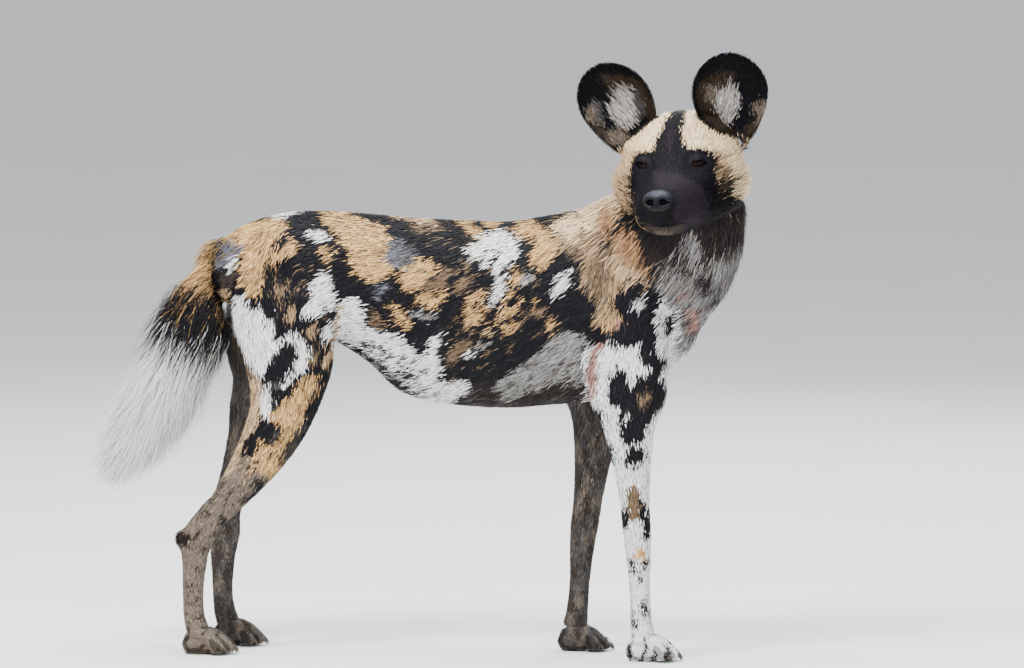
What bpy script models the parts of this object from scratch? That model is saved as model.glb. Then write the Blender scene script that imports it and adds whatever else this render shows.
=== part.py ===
"""An African wild dog standing still, its head turned to its right, at life size.

The frame is +X from tail to chest, +Y to the animal's left and +Z up. The origin is on the
floor, under the middle of the animal's bounding box. All sizes are in metres.
"""

import math
import random

import bpy
import numpy as np
from mathutils import Matrix, Vector
from mathutils.bvhtree import BVHTree

# Driving sizes of the whole animal
MIDLINE_Y = 0.0588
SHIFT_X = -0.0008
GAP = 0.0003
CUT_WIDTH = 0.00034

# Trunk: x, height of the back, height of the belly, half width
TRUNK = (
    (-0.328, 0.612, 0.548, 0.034),
    (-0.305, 0.636, 0.512, 0.058),
    (-0.265, 0.655, 0.486, 0.070),
    (-0.210, 0.666, 0.474, 0.075),
    (-0.150, 0.667, 0.466, 0.073),
    (-0.100, 0.664, 0.436, 0.069),
    (-0.050, 0.660, 0.395, 0.071),
    (0.000, 0.657, 0.379, 0.078),
    (0.060, 0.655, 0.373, 0.085),
    (0.120, 0.655, 0.372, 0.089),
    (0.180, 0.665, 0.377, 0.090),
    (0.240, 0.675, 0.384, 0.087),
    (0.290, 0.668, 0.400, 0.079),
    (0.335, 0.640, 0.418, 0.069),
    (0.374, 0.600, 0.444, 0.054),
    (0.399, 0.560, 0.478, 0.030),
)
WIDEST_LEVEL = 0.56

# Neck: x and z of its back edge, x and z of its throat edge, half width, sideways shift
NECK = (
    (0.190, 0.655, 0.370, 0.455, 0.072, 0.000),
    (0.235, 0.678, 0.410, 0.500, 0.078, 0.000),
    (0.268, 0.694, 0.440, 0.550, 0.077, -0.002),
    (0.288, 0.710, 0.459, 0.600, 0.076, -0.006),
    (0.298, 0.733, 0.466, 0.645, 0.075, -0.012),
    (0.306, 0.763, 0.462, 0.692, 0.073, -0.022),
    (0.322, 0.790, 0.436, 0.735, 0.060, -0.034),
    (0.345, 0.800, 0.410, 0.770, 0.040, -0.044),
)

# Foreleg: height, lean fraction, half depth front to back, half width, distance from midline
FORELEG = (
    (0.640, -0.13, 0.034, 0.014, 0.052),
    (0.580, -0.06, 0.052, 0.024, 0.063),
    (0.510, 0.03, 0.060, 0.030, 0.069),
    (0.450, 0.03, 0.062, 0.032, 0.070),
    (0.395, 0.00, 0.057, 0.032, 0.069),
    (0.350, 0.06, 0.041, 0.029, 0.067),
    (0.300, 0.22, 0.0305, 0.0255, 0.065),
    (0.240, 0.42, 0.0240, 0.0210, 0.062),
    (0.195, 0.58, 0.0225, 0.0215, 0.060),
    (0.160, 0.70, 0.0205, 0.0200, 0.060),
    (0.110, 0.80, 0.0172, 0.0180, 0.060),
    (0.065, 0.90, 0.0175, 0.0215, 0.060),
    (0.035, 1.02, 0.0200, 0.0245, 0.060),
)
ELBOW_X = {"right": 0.302, "left": 0.240}
FORE_FOOT_X = {"right": 0.322, "left": 0.205}

# Hind leg: x, height, half depth across its own line, half width, distance from midline
HINDLEG = (
    (-0.232, 0.615, 0.052, 0.020, 0.040),
    (-0.225, 0.560, 0.074, 0.030, 0.048),
    (-0.216, 0.505, 0.082, 0.036, 0.053),
    (-0.213, 0.455, 0.071, 0.037, 0.056),
    (-0.215, 0.405, 0.058, 0.034, 0.058),
    (-0.226, 0.360, 0.049, 0.030, 0.059),
    (-0.248, 0.315, 0.0420, 0.0265, 0.060),
    (-0.279, 0.268, 0.0330, 0.0225, 0.060),
    (-0.305, 0.236, 0.0270, 0.0200, 0.060),
    (-0.332, 0.205, 0.0240, 0.0195, 0.060),
    (-0.353, 0.172, 0.0260, 0.0205, 0.060),
    (-0.357, 0.135, 0.0205, 0.0180, 0.060),
    (-0.359, 0.090, 0.0175, 0.0170, 0.060),
    (-0.357, 0.055, 0.0175, 0.0205, 0.060),
    (-0.350, 0.032, 0.0190, 0.0235, 0.060),
)
# Where the left hind leg stands against the right one: height and shift along X
LEFT_HIND_SHIFT = ((0.0, 0.026), (0.17, 0.022), (0.25, -0.022), (0.36, -0.050), (0.46, -0.046), (0.60, 0.0))

# Tail: x, z, half width of its core, half width out to the tips of its hair
TAIL_FLATNESS = 0.74
TAIL = (
    (-0.272, 0.606, 0.012, 0.014),
    (-0.298, 0.610, 0.018, 0.020),
    (-0.322, 0.600, 0.019, 0.023),
    (-0.343, 0.568, 0.018, 0.026),
    (-0.362, 0.522, 0.018, 0.035),
    (-0.381, 0.472, 0.020, 0.047),
    (-0.402, 0.420, 0.022, 0.053),
    (-0.427, 0.368, 0.020, 0.048),
    (-0.457, 0.322, 0.014, 0.035),
    (-0.484, 0.288, 0.008, 0.018),
    (-0.505, 0.264, 0.003, 0.004),
)

# Head, in its own frame: u forward, v to the animal's left, w up, with w = 0 at the eyes
# Columns: u, height of the upper line, height of the lower line, half width, level of most width
HEAD = (
    (0.1425, -0.049, -0.067, 0.006, -0.058),
    (0.139, -0.038, -0.077, 0.019, -0.059),
    (0.132, -0.029, -0.086, 0.029, -0.061),
    (0.120, -0.0225, -0.093, 0.0375, -0.062),
    (0.102, -0.0180, -0.098, 0.0435, -0.062),
    (0.082, -0.0130, -0.101, 0.0500, -0.058),
    (0.064, -0.0030, -0.102, 0.0580, -0.052),
    (0.049, 0.0120, -0.102, 0.0665, -0.046),
    (0.032, 0.0320, -0.102, 0.0765, -0.040),
    (0.012, 0.0490, -0.100, 0.0860, -0.035),
    (-0.014, 0.0600, -0.095, 0.0920, -0.031),
    (-0.040, 0.0640, -0.084, 0.0900, -0.024),
    (-0.065, 0.0610, -0.064, 0.0790, -0.012),
    (-0.088, 0.0490, -0.036, 0.0600, 0.000),
    (-0.104, 0.0320, -0.008, 0.0340, 0.010),
)
EYES_MIDDLE = (0.371, -0.115, 0.748)
EYE_FORWARD = 0.040
EYE_SIDE = 0.0405
EYE_RADIUS = 0.0115
EYE_OPENING = (0.0098, 0.0050, 0.0065)
HEAD_HEADING = math.radians(-96.5)
HEAD_PITCH = math.radians(6.0)
HEAD_ROLL = math.radians(2.5)
SKULL_ROUNDNESS = 2.25

EAR_HEIGHT = 0.126
EAR_WIDTH = 0.114
EAR_DEPTH = 0.030
EAR_WALL = 0.0042
EAR_WIDEST = 0.56
EAR_BASE = (-0.030, 0.056, 0.030)
EAR_TILT = {"right": math.radians(31.5), "left": math.radians(15.5)}
EAR_TURN = {"right": math.radians(4.0), "left": math.radians(14.0)}

NOSE_CENTRE = (0.1345, 0.0, -0.0415)
NOSE_HALF = (0.0150, 0.0220, 0.0165)

PAW_LENGTH = 0.078
TOE_RADIUS = 0.0098
TOE_SPACING = 0.0140
SOLE_SINK = 0.0022

# Locks of long hair: places along the width profile, and sizes of each group
LOCK_PROFILE = ((0.0, 0.62), (0.36, 1.0), (0.74, 0.60))
TAIL_TIERS = 6
TAIL_LOCKS_ROUND = 6
TAIL_LOCK = (0.110, 0.0175, 0.0052)
RUFF_TIERS = 4
RUFF_LOCKS_ROUND = 8
RUFF_LOCK = (0.062, 0.0255, 0.0042)
RUFF_RISE = 0.006
CHEEK_ROWS = 2
CHEEK_LOCKS_A_ROW = 5
CHEEK_LOCK = (0.062, 0.0115, 0.0030)
CHEEK_FLARE = {"right": 0.38, "left": 0.56}
ROOT_DEPTH = 0.006
SEED = 11

BODY_VOXEL = 0.0065
BODY_TRIANGLES = 3100


def clear_scene():
    for obj in list(bpy.data.objects):
        bpy.data.objects.remove(obj, do_unlink=True)


def collection(name):
    found = bpy.data.collections.new(name)
    bpy.context.scene.collection.children.link(found)
    return found


def material(name, colour, roughness, metallic=0.0):
    mat = bpy.data.materials.new(name)
    mat.use_nodes = True
    shader = mat.node_tree.nodes["Principled BSDF"]
    shader.inputs["Base Color"].default_value = (*colour, 1.0)
    shader.inputs["Roughness"].default_value = roughness
    shader.inputs["Metallic"].default_value = metallic
    return mat


def smooth_rows(rows, count):
    """Rows of a table read along a smooth curve through them, at evenly spaced places."""
    rows = np.asarray(rows, float)
    last = len(rows) - 1
    at = np.linspace(0.0, last, count)
    k = np.clip(at.astype(int), 0, last - 1)
    t = (at - k)[:, None]
    before, after = rows[np.maximum(k - 1, 0)], rows[np.minimum(k + 2, last)]
    start, end = rows[k], rows[k + 1]
    return 0.5 * (
        2.0 * start
        + (end - before) * t
        + (2.0 * before - 5.0 * start + 4.0 * end - after) * t**2
        + (3.0 * start - before - 3.0 * end + after) * t**3
    )


def mesh_object(name, verts, faces, group):
    mesh = bpy.data.meshes.new(name)
    mesh.from_pydata([tuple(p) for p in verts], [], faces)
    mesh.validate()
    obj = bpy.data.objects.new(name, mesh)
    group.objects.link(obj)
    return obj


def loft(name, rings, group):
    """A closed skin over rings of points, each end closed by a fan to the ring's middle."""
    rings = np.asarray(rings, float)
    count, sides = rings.shape[:2]
    verts = rings.reshape(-1, 3).tolist()
    faces = []
    for i in range(count - 1):
        for j in range(sides):
            k = (j + 1) % sides
            faces.append((i * sides + j, i * sides + k, (i + 1) * sides + k, (i + 1) * sides + j))
    for ring, order in ((0, -1), (count - 1, 1)):
        middle = len(verts)
        verts.append(rings[ring].mean(0).tolist())
        for j in range(sides):
            pair = (ring * sides + j, ring * sides + (j + 1) % sides)
            faces.append((middle, *pair[::order]))
    obj = mesh_object(name, verts, faces, group)
    face_outwards(obj)
    return obj


def face_outwards(obj):
    """Turns every face outwards when the solid is inside out."""
    mesh = obj.data
    mesh.calc_loop_triangles()
    volume = 0.0
    for tri in mesh.loop_triangles:
        a, b, c = (mesh.vertices[i].co for i in tri.vertices)
        volume += a.dot(b.cross(c))
    if volume < 0.0:
        mesh.flip_normals()


def bake(obj):
    """Replaces an object's mesh by the one its modifiers make."""
    view = bpy.context.evaluated_depsgraph_get()
    mesh = bpy.data.meshes.new_from_object(obj.evaluated_get(view))
    obj.modifiers.clear()
    obj.data = mesh


def combine(obj, others, operation, solver="EXACT"):
    """One Boolean of obj with every object of a short-lived collection, which is then removed."""
    group = collection("pieces to " + operation.lower())
    for other in others:
        group.objects.link(other)
    step = obj.modifiers.new("combine", "BOOLEAN")
    step.operation = operation
    step.solver = solver
    step.operand_type = "COLLECTION"
    step.collection = group
    bake(obj)
    for other in others:
        bpy.data.objects.remove(other, do_unlink=True)
    bpy.data.collections.remove(group)


def closed_surfaces(obj):
    """The vertex and face numbers of each separate surface in obj, the largest first."""
    mesh = obj.data
    parent = list(range(len(mesh.vertices)))

    def root(i):
        while parent[i] != i:
            parent[i] = parent[parent[i]]
            i = parent[i]
        return i

    for edge in mesh.edges:
        a, b = (root(i) for i in edge.vertices)
        if a != b:
            parent[a] = b
    found = {}
    for face in mesh.polygons:
        found.setdefault(root(face.vertices[0]), []).append(face.index)
    return sorted(found.values(), key=lambda faces: surface_size(mesh, faces), reverse=True)


def surface_size(mesh, faces):
    points = np.array([mesh.vertices[i].co for f in faces for i in mesh.polygons[f].vertices])
    return float(np.prod(points.max(0) - points.min(0)))


def surface_object(name, obj, faces, group):
    """A new object with only some faces of obj."""
    mesh = obj.data
    used = sorted({i for f in faces for i in mesh.polygons[f].vertices})
    new = {old: i for i, old in enumerate(used)}
    verts = [mesh.vertices[i].co for i in used]
    return mesh_object(name, verts, [[new[i] for i in mesh.polygons[f].vertices] for f in faces], group)


def keep_largest(obj):
    surfaces = closed_surfaces(obj)
    if len(surfaces) > 1:
        group = obj.users_collection[0]
        kept = surface_object(obj.name, obj, surfaces[0], group)
        obj.data = kept.data
        bpy.data.objects.remove(kept, do_unlink=True)


def swollen(obj, distance, group):
    """A copy of obj with its surface pushed out along its normals."""
    copy = bpy.data.objects.new(obj.name + " swollen", obj.data.copy())
    group.objects.link(copy)
    push = copy.modifiers.new("push", "DISPLACE")
    push.strength = distance
    push.mid_level = 0.0
    bake(copy)
    return copy


def superellipse(sides, power):
    """Unit points around a rounded-square ring, from the animal's left over the top."""
    angle = np.linspace(0.0, 2.0 * math.pi, sides, endpoint=False)
    c, s = np.cos(angle), np.sin(angle)
    return np.sign(c) * abs(c) ** (2.0 / power), np.sign(s) * abs(s) ** (2.0 / power)


def trunk(group):
    rows = smooth_rows(TRUNK, 44)
    across, up = superellipse(32, 2.15)
    x, top, bottom, half = rows.T
    level = bottom + (top - bottom) * WIDEST_LEVEL
    rings = np.zeros((len(rows), len(up), 3))
    rings[..., 0] = x[:, None]
    rings[..., 1] = MIDLINE_Y + half[:, None] * across
    rings[..., 2] = level[:, None] + np.where(up > 0, (top - level)[:, None] * up, (level - bottom)[:, None] * up)
    return loft("trunk", rings, group)


def neck_tube(group):
    rows = smooth_rows(NECK, 26)
    across, up = superellipse(30, 2.1)
    back, throat = rows[:, 0:2], rows[:, 2:4]
    middle, reach = (back + throat) / 2.0, (back - throat) / 2.0
    rings = np.zeros((len(rows), len(up), 3))
    rings[..., 0] = middle[:, None, 0] + reach[:, None, 0] * up
    rings[..., 2] = middle[:, None, 1] + reach[:, None, 1] * up
    rings[..., 1] = MIDLINE_Y + rows[:, None, 5] + rows[:, None, 4] * across
    return loft("neck tube", rings, group)


def limb(name, rows, count, sides, group):
    """A tube through rows of x, y, z, half depth and half width, its rings square to its line."""
    rows = smooth_rows(rows, count)
    centre = rows[:, :3]
    line = np.gradient(centre[:, [0, 2]], axis=0)
    line /= np.linalg.norm(line, axis=1)[:, None]
    across, up = superellipse(sides, 2.0)
    rings = np.repeat(centre[:, None, :], sides, axis=1)
    rings[..., 0] += line[:, None, 1] * rows[:, None, 3] * up
    rings[..., 2] -= line[:, None, 0] * rows[:, None, 3] * up
    rings[..., 1] += rows[:, None, 4] * across
    return loft(name, rings, group)


def side_sign(side):
    return 1.0 if side == "left" else -1.0


def foreleg_rows(side):
    elbow, foot = ELBOW_X[side], FORE_FOOT_X[side]
    sign = side_sign(side)
    rows = []
    for z, lean, deep, wide, out in FORELEG:
        x = elbow + (foot - elbow) * lean if lean >= 0.0 else elbow + 0.5 * lean
        rows.append((x, MIDLINE_Y + sign * out, z, deep, wide))
    return rows


def hindleg_rows(side):
    sign = side_sign(side)
    heights, shifts = zip(*LEFT_HIND_SHIFT)
    rows = []
    for x, z, deep, wide, out in HINDLEG:
        shift = float(np.interp(z, heights, shifts)) if side == "left" else 0.0
        rows.append((x + shift, MIDLINE_Y + sign * out, z, deep, wide))
    return rows


def heel_bone(side, group):
    """The point of the hock, which stands out behind and above the joint."""
    joint = hindleg_rows(side)[10]
    rows = [
        (joint[0] + 0.006, joint[1], joint[2] - 0.022, 0.012, 0.012),
        (joint[0] - 0.010, joint[1], joint[2] - 0.006, 0.018, 0.015),
        (joint[0] - 0.024, joint[1], joint[2] + 0.004, 0.015, 0.0125),
        (joint[0] - 0.033, joint[1], joint[2] + 0.010, 0.009, 0.008),
    ]
    return limb("heel bone", rows, 9, 14, group)


def body_core(group):
    """Trunk, neck and legs run together into one smooth skin."""
    pieces = [trunk(group), neck_tube(group)]
    for side in ("right", "left"):
        pieces.append(limb("foreleg", foreleg_rows(side), 40, 20, group))
        pieces.append(limb("hindleg", hindleg_rows(side), 48, 22, group))
        pieces.append(heel_bone(side, group))
    body = pieces[0]
    combine(body, pieces[1:], "UNION")
    skin = body.modifiers.new("skin", "REMESH")
    skin.mode = "VOXEL"
    skin.voxel_size = BODY_VOXEL
    relax = body.modifiers.new("relax", "SMOOTH")
    relax.factor = 0.5
    relax.iterations = 5
    bake(body)
    thin = body.modifiers.new("thin", "DECIMATE")
    thin.ratio = BODY_TRIANGLES / sum(len(f.vertices) - 2 for f in body.data.polygons)
    bake(body)
    keep_largest(body)
    return body


def tail_rows(column):
    return [(row[0], MIDLINE_Y, row[1], row[column], TAIL_FLATNESS * row[column]) for row in TAIL]


def lock(root, bend, tip, half_width, half_depth, group):
    """A flat, tapered lock that bends from root over bend to tip, widest near a third of its length."""
    root, bend, tip = (np.array(p, float) for p in (root, bend, tip))
    outward = bend - (root + tip) / 2.0
    rings = []
    for t, scale in LOCK_PROFILE:
        at = (1 - t) ** 2 * root + 2 * t * (1 - t) * bend + t**2 * tip
        line = 2 * (1 - t) * (bend - root) + 2 * t * (tip - bend)
        line /= np.linalg.norm(line)
        beside = np.cross(line, outward)
        beside /= np.linalg.norm(beside)
        out = np.cross(beside, line)
        flat, deep = beside * half_width * scale, out * half_depth * scale
        rings.append([at + flat, at + deep, at - flat, at - deep])
    verts = [p for ring in rings for p in ring] + [root, tip]
    last = len(rings) - 1
    faces = []
    for i in range(last):
        for j in range(4):
            k = (j + 1) % 4
            faces.append((4 * i + j, 4 * i + k, 4 * i + 4 + k, 4 * i + 4 + j))
    for j in range(4):
        k = (j + 1) % 4
        faces.append((len(verts) - 2, k, j))
        faces.append((len(verts) - 1, 4 * last + j, 4 * last + k))
    obj = mesh_object("lock", verts, faces, group)
    face_outwards(obj)
    return obj


def tail_locks(group):
    """Tiers of locks that leave the tail's core all round and lie back along it to its outline."""
    draw = random.Random(SEED)
    table = smooth_rows(TAIL, 61)
    middle = np.stack([table[:, 0], np.full(len(table), MIDLINE_Y), table[:, 1]], 1)
    along = np.concatenate([[0.0], np.cumsum(np.linalg.norm(np.diff(middle, axis=0), axis=1))])
    line = np.gradient(middle, axis=0)
    line /= np.linalg.norm(line, axis=1)[:, None]

    def place_at(s, angle, reach, share):
        """A point at arc length s and an angle round the tail, share of the way out to the hair's tips."""
        centre = np.array([np.interp(s, along, middle[:, i]) for i in range(3)])
        ahead = np.array([np.interp(s, along, line[:, i]) for i in range(3)])
        core, tips = np.interp(s, along, table[:, 2]), np.interp(s, along, table[:, 3])
        radius = core * reach + (tips - core * reach) * share
        beside = np.array([-ahead[2], 0.0, ahead[0]])
        return centre + radius * (math.cos(angle) * beside + math.sin(angle) * TAIL_FLATNESS * np.array([0, 1, 0]))

    length, half_width, half_depth = TAIL_LOCK
    first, last = 0.085, along[-1] - 0.070
    found = []
    for tier in range(TAIL_TIERS):
        start = first + (last - first) * tier / (TAIL_TIERS - 1)
        for i in range(TAIL_LOCKS_ROUND):
            angle = 2.0 * math.pi * (i + 0.5 * (tier % 2) + draw.uniform(-0.12, 0.12)) / TAIL_LOCKS_ROUND
            begin = start + draw.uniform(-0.010, 0.010)
            reach = min(length * draw.uniform(0.88, 1.12), along[-1] + 0.002 - begin)
            twist = draw.uniform(-0.12, 0.12)
            root = place_at(begin, angle, 0.45, 0.0)
            bend = place_at(begin + 0.42 * reach, angle + twist / 2.0, 1.0, draw.uniform(1.15, 1.35))
            tip = place_at(begin + reach, angle + twist, 1.0, draw.uniform(0.86, 1.0))
            size = draw.uniform(0.88, 1.12) * (1.0 - 0.30 * tier / TAIL_TIERS)
            found.append(lock(root, bend, tip, half_width * size, half_depth * size, group))
    return found


def tail_piece(body, group):
    """The tail, clear of the rump and thighs that it hangs against."""
    tail = limb("tail", tail_rows(2), 22, 12, group)
    combine(tail, tail_locks(group), "UNION")
    keep_largest(tail)
    combine(tail, [swollen(body, GAP, group)], "DIFFERENCE")
    keep_largest(tail)
    return tail


def surface_reader(obj):
    """A function that gives the point and normal where a ray first leaves obj's outside."""
    mesh = obj.data
    tree = BVHTree.FromPolygons([v.co for v in mesh.vertices], [tuple(p.vertices) for p in mesh.polygons])

    def read(inside, direction):
        direction = Vector(direction).normalized()
        start = Vector(inside) + direction * 0.30
        point, normal, _, _ = tree.ray_cast(start, -direction, 0.30)
        return (point, normal) if point else (None, None)

    return read


def ruff_locks(read, group):
    """Tiers of locks round the neck that lie down it from the head towards the shoulders."""
    draw = random.Random(SEED + 1)
    rows = smooth_rows(NECK, 57)
    middle = np.stack([(rows[:, 0] + rows[:, 2]) / 2, MIDLINE_Y + rows[:, 5], (rows[:, 1] + rows[:, 3]) / 2], 1)
    back = np.stack([rows[:, 0] - rows[:, 2], np.zeros(len(rows)), rows[:, 1] - rows[:, 3]], 1)
    back /= np.linalg.norm(back, axis=1)[:, None]
    step = np.linalg.norm(np.diff(middle, axis=0), axis=1).mean()
    length, half_width, half_depth = RUFF_LOCK
    first, spacing = 43.0, 5.6
    found = []
    for tier in range(RUFF_TIERS):
        for i in range(RUFF_LOCKS_ROUND):
            angle = 2.0 * math.pi * (i + 0.5 * (tier % 2) + draw.uniform(-0.12, 0.12)) / RUFF_LOCKS_ROUND
            start = first - spacing * tier + draw.uniform(-1.2, 1.2)
            reach = length * draw.uniform(0.85, 1.15) / step
            knots = []
            for t in (0.0, 0.5, 1.0):
                k = int(round(start - reach * t))
                way = back[k] * math.cos(angle) + np.array([0.0, 1.0, 0.0]) * math.sin(angle)
                knots.append(read(middle[k], way))
            (root, n0), (bend, n1), (tip, n2) = knots
            rise = RUFF_RISE * draw.uniform(0.8, 1.2)
            width = half_width * draw.uniform(0.9, 1.12)
            found.append(lock(root - n0 * ROOT_DEPTH, bend + n1 * 1.3 * rise, tip + n2 * rise,
                              width, half_depth, group))
    return found


def cheek_locks(group):
    """The whiskers of the cheeks, a fringe that sweeps back, out and down from behind the jaw."""
    draw = random.Random(SEED + 2)
    length, half_width, half_depth = CHEEK_LOCK
    rows = np.array(HEAD)[::-1].T
    found = []
    for side in ("right", "left"):
        sign = side_sign(side)
        for row in range(CHEEK_ROWS):
            u = 0.026 - 0.022 * row
            bottom, half, level = (float(np.interp(u, rows[0], rows[i])) for i in (2, 3, 4))
            for i in range(CHEEK_LOCKS_A_ROW - row):
                angle = math.radians(6.0 - 14.5 * (i + 0.5 * row + draw.uniform(-0.12, 0.12)))
                around = Vector((0.0, sign * math.cos(angle), math.sin(angle)))
                surface = Vector((u, around.y * half, level + around.z * (level - bottom)))
                way = (Vector((-0.90, 0.0, -0.12)) + CHEEK_FLARE[side] * around).normalized()
                root = surface - around * ROOT_DEPTH
                tip = root + way * (length - 0.016 * row) * draw.uniform(0.88, 1.12)
                bend = (root + tip) / 2.0 + around * 0.008
                found.append(lock(root, bend, tip, half_width, half_depth, group))
    return found


def paw(side, kind, group):
    """Four toes with claws around a heel pad, flat underneath."""
    leg = foreleg_rows(side) if kind == "fore" else hindleg_rows(side)
    x, y = leg[-1][0], leg[-1][1]
    pieces = []
    reach = PAW_LENGTH - 0.030
    for place in (-1.5, -0.5, 0.5, 1.5):
        outer = abs(place) > 1.0
        forward = reach - (0.012 if outer else 0.0)
        spread = place * TOE_SPACING
        r = TOE_RADIUS
        rows = [
            (x - 0.012, y + 0.62 * spread, 0.034, 1.0 * r, 0.9 * r),
            (x + 0.35 * forward, y + 0.85 * spread, 0.031, 1.20 * r, 1.0 * r),
            (x + 0.70 * forward, y + 1.0 * spread, 0.0220, 1.35 * r, 1.02 * r),
            (x + 0.96 * forward, y + 1.05 * spread, 0.0110, 1.15 * r, 0.94 * r),
            (x + 1.02 * forward, y + 1.05 * spread, 0.0045, 0.5 * r, 0.45 * r),
        ]
        pieces.append(limb("toe", rows, 5, 6, group))
        tip = x + 1.02 * forward
        claw = [
            (tip - 0.008, y + 1.05 * spread, 0.0150, 0.0030, 0.0024),
            (tip + 0.003, y + 1.07 * spread, 0.0120, 0.0028, 0.0022),
            (tip + 0.009, y + 1.09 * spread, 0.0070, 0.0018, 0.0014),
            (tip + 0.011, y + 1.10 * spread, 0.0030, 0.0004, 0.0004),
        ]
        pieces.append(limb("claw", claw[:1] + claw[2:], 3, 4, group))
    pad = [
        (x - 0.023, y, 0.026, 0.010, 0.013),
        (x - 0.012, y, 0.022, 0.0215, 0.020),
        (x + 0.008, y, 0.019, 0.0205, 0.0225),
        (x + 0.026, y, 0.018, 0.0140, 0.0200),
    ]
    pieces.append(limb("pad", pad, 5, 8, group))
    return pieces


def head_frame():
    """The matrix from the head's own frame to the world."""
    c, s = math.cos(HEAD_HEADING), math.sin(HEAD_HEADING)
    forward = Vector((c * math.cos(HEAD_PITCH), s * math.cos(HEAD_PITCH), -math.sin(HEAD_PITCH)))
    level_left = Vector((-s, c, 0.0))
    upright = forward.cross(level_left)
    left = level_left * math.cos(HEAD_ROLL) + upright * math.sin(HEAD_ROLL)
    up = forward.cross(left)
    eyes = Vector((EYES_MIDDLE[0], EYES_MIDDLE[1] + MIDLINE_Y, EYES_MIDDLE[2]))
    turn = Matrix((forward, left, up)).transposed().to_4x4()
    return Matrix.Translation(eyes) @ turn @ Matrix.Translation((-EYE_FORWARD, 0.0, 0.0))


def place(obj, matrix):
    obj.data.transform(matrix)
    return obj


def skull(group):
    """The skull, muzzle and cheeks as one loft, with brows, eye hollows and lips pressed in."""
    rows = smooth_rows(HEAD, 28)
    across, up = superellipse(28, SKULL_ROUNDNESS)
    u, top, bottom, half, level = rows.T
    rings = np.zeros((len(rows), len(up), 3))
    rings[..., 0] = u[:, None]
    rings[..., 1] = half[:, None] * across
    rings[..., 2] = level[:, None] + np.where(up > 0, (top - level)[:, None] * up, (level - bottom)[:, None] * up)
    shape_face(rings)
    return loft("skull", rings, group)


def bump(points, centre, radii):
    """One at centre, falling smoothly to nothing at the given radii."""
    away = (points - np.array(centre)) / np.array(radii)
    return np.exp(-2.2 * (away**2).sum(-1))


def shape_face(rings):
    """Moves the head's grid for the brows, the hollows before the eyes, the cheeks and the jowls."""
    for sign in (-1.0, 1.0):
        brow = bump(rings, (0.034, sign * 0.040, 0.018), (0.024, 0.026, 0.014))
        hollow = bump(rings, (0.060, sign * 0.036, -0.008), (0.024, 0.020, 0.018))
        jowl = bump(rings, (0.100, sign * 0.034, -0.072), (0.040, 0.020, 0.018))
        cheek = bump(rings, (0.040, sign * 0.060, -0.045), (0.030, 0.030, 0.026))
        rings[..., 0] += 0.004 * brow - 0.003 * hollow
        rings[..., 1] += sign * (0.002 * brow - 0.005 * hollow + 0.0025 * jowl - 0.002 * cheek)
        rings[..., 2] += 0.002 * brow - 0.002 * jowl
    groove = bump(rings, (0.045, 0.0, 0.018), (0.030, 0.009, 0.030))
    rings[..., 2] -= 0.003 * groove


def eye_centre(side):
    return Vector((EYE_FORWARD - 0.0015, side_sign(side) * EYE_SIDE * 0.965, 0.0))


def eye_gaze(side):
    """The way an eye looks: forward, a little outwards."""
    return Vector((0.86, side_sign(side) * 0.50, 0.05)).normalized()


def eyeball(name, side, radius, group):
    bpy.ops.mesh.primitive_uv_sphere_add(segments=14, ring_count=8, radius=radius)
    obj = bpy.context.object
    obj.name = name
    for owner in list(obj.users_collection):
        owner.objects.unlink(obj)
    group.objects.link(obj)
    turn = eye_gaze(side).to_track_quat("Z", "Y").to_matrix().to_4x4()
    obj.data.transform(Matrix.Translation(eye_centre(side)) @ turn)
    return obj


def eyelid(side, upper, group):
    """A rolled lid along an arc over or under the eye, from its inner to its outer corner."""
    gaze = eye_gaze(side)
    sign = side_sign(side)
    out = Vector((-gaze.y * sign, gaze.x * sign, 0.0)).normalized() * sign
    up = gaze.cross(out) * sign
    if up.z < 0.0:
        up.negate()
    lift = math.radians(31.0 if upper else -31.0)
    count, sides = 8, 5
    rings = np.zeros((count, sides, 3))
    for i, t in enumerate(np.linspace(-1.0, 1.0, count)):
        sweep = math.radians(60.0) * t
        rise = lift * math.cos(t * math.pi / 2.0) ** 0.8
        ray = gaze * math.cos(sweep) * math.cos(rise) + out * math.sin(sweep) * math.cos(rise)
        ray += up * math.sin(rise)
        thick = 0.0033 if upper else 0.0026
        thick *= 0.55 + 0.45 * math.cos(t * math.pi / 2.0)
        centre = eye_centre(side) + ray * (EYE_RADIUS + 0.35 * thick)
        away = ray
        beside = up * math.cos(rise) - gaze * math.sin(rise)
        for j in range(sides):
            a = 2.0 * math.pi * j / sides
            point = centre + away * (thick * math.cos(a)) + beside * (1.25 * thick * math.sin(a))
            rings[i, j] = point
    return loft("eyelid", rings, group)


def eye_opening(side, group):
    """The almond that opens the face in front of an eyeball, between the lids."""
    obj = eyeball("eye opening", side, 1.0, group)
    gaze = eye_gaze(side)
    turn = gaze.to_track_quat("Z", "Y").to_matrix().to_4x4()
    at = eye_centre(side) + gaze * (EYE_RADIUS + 0.0005)
    obj.data.transform(turn.inverted() @ Matrix.Translation(-eye_centre(side)))
    obj.data.transform(Matrix.Translation(at) @ turn @ Matrix.Diagonal((*EYE_OPENING, 1.0)))
    return obj


def lip_line(t):
    """A place on the mouth line: t runs from the right corner round the front to the left one."""
    side = abs(t)
    u = 0.137 - 0.077 * side**1.9
    v = math.copysign(1.0, t) * (0.052 * side**0.62)
    w = -0.0775 + 0.0055 * side**2.5
    return Vector((u, v, w))


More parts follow.
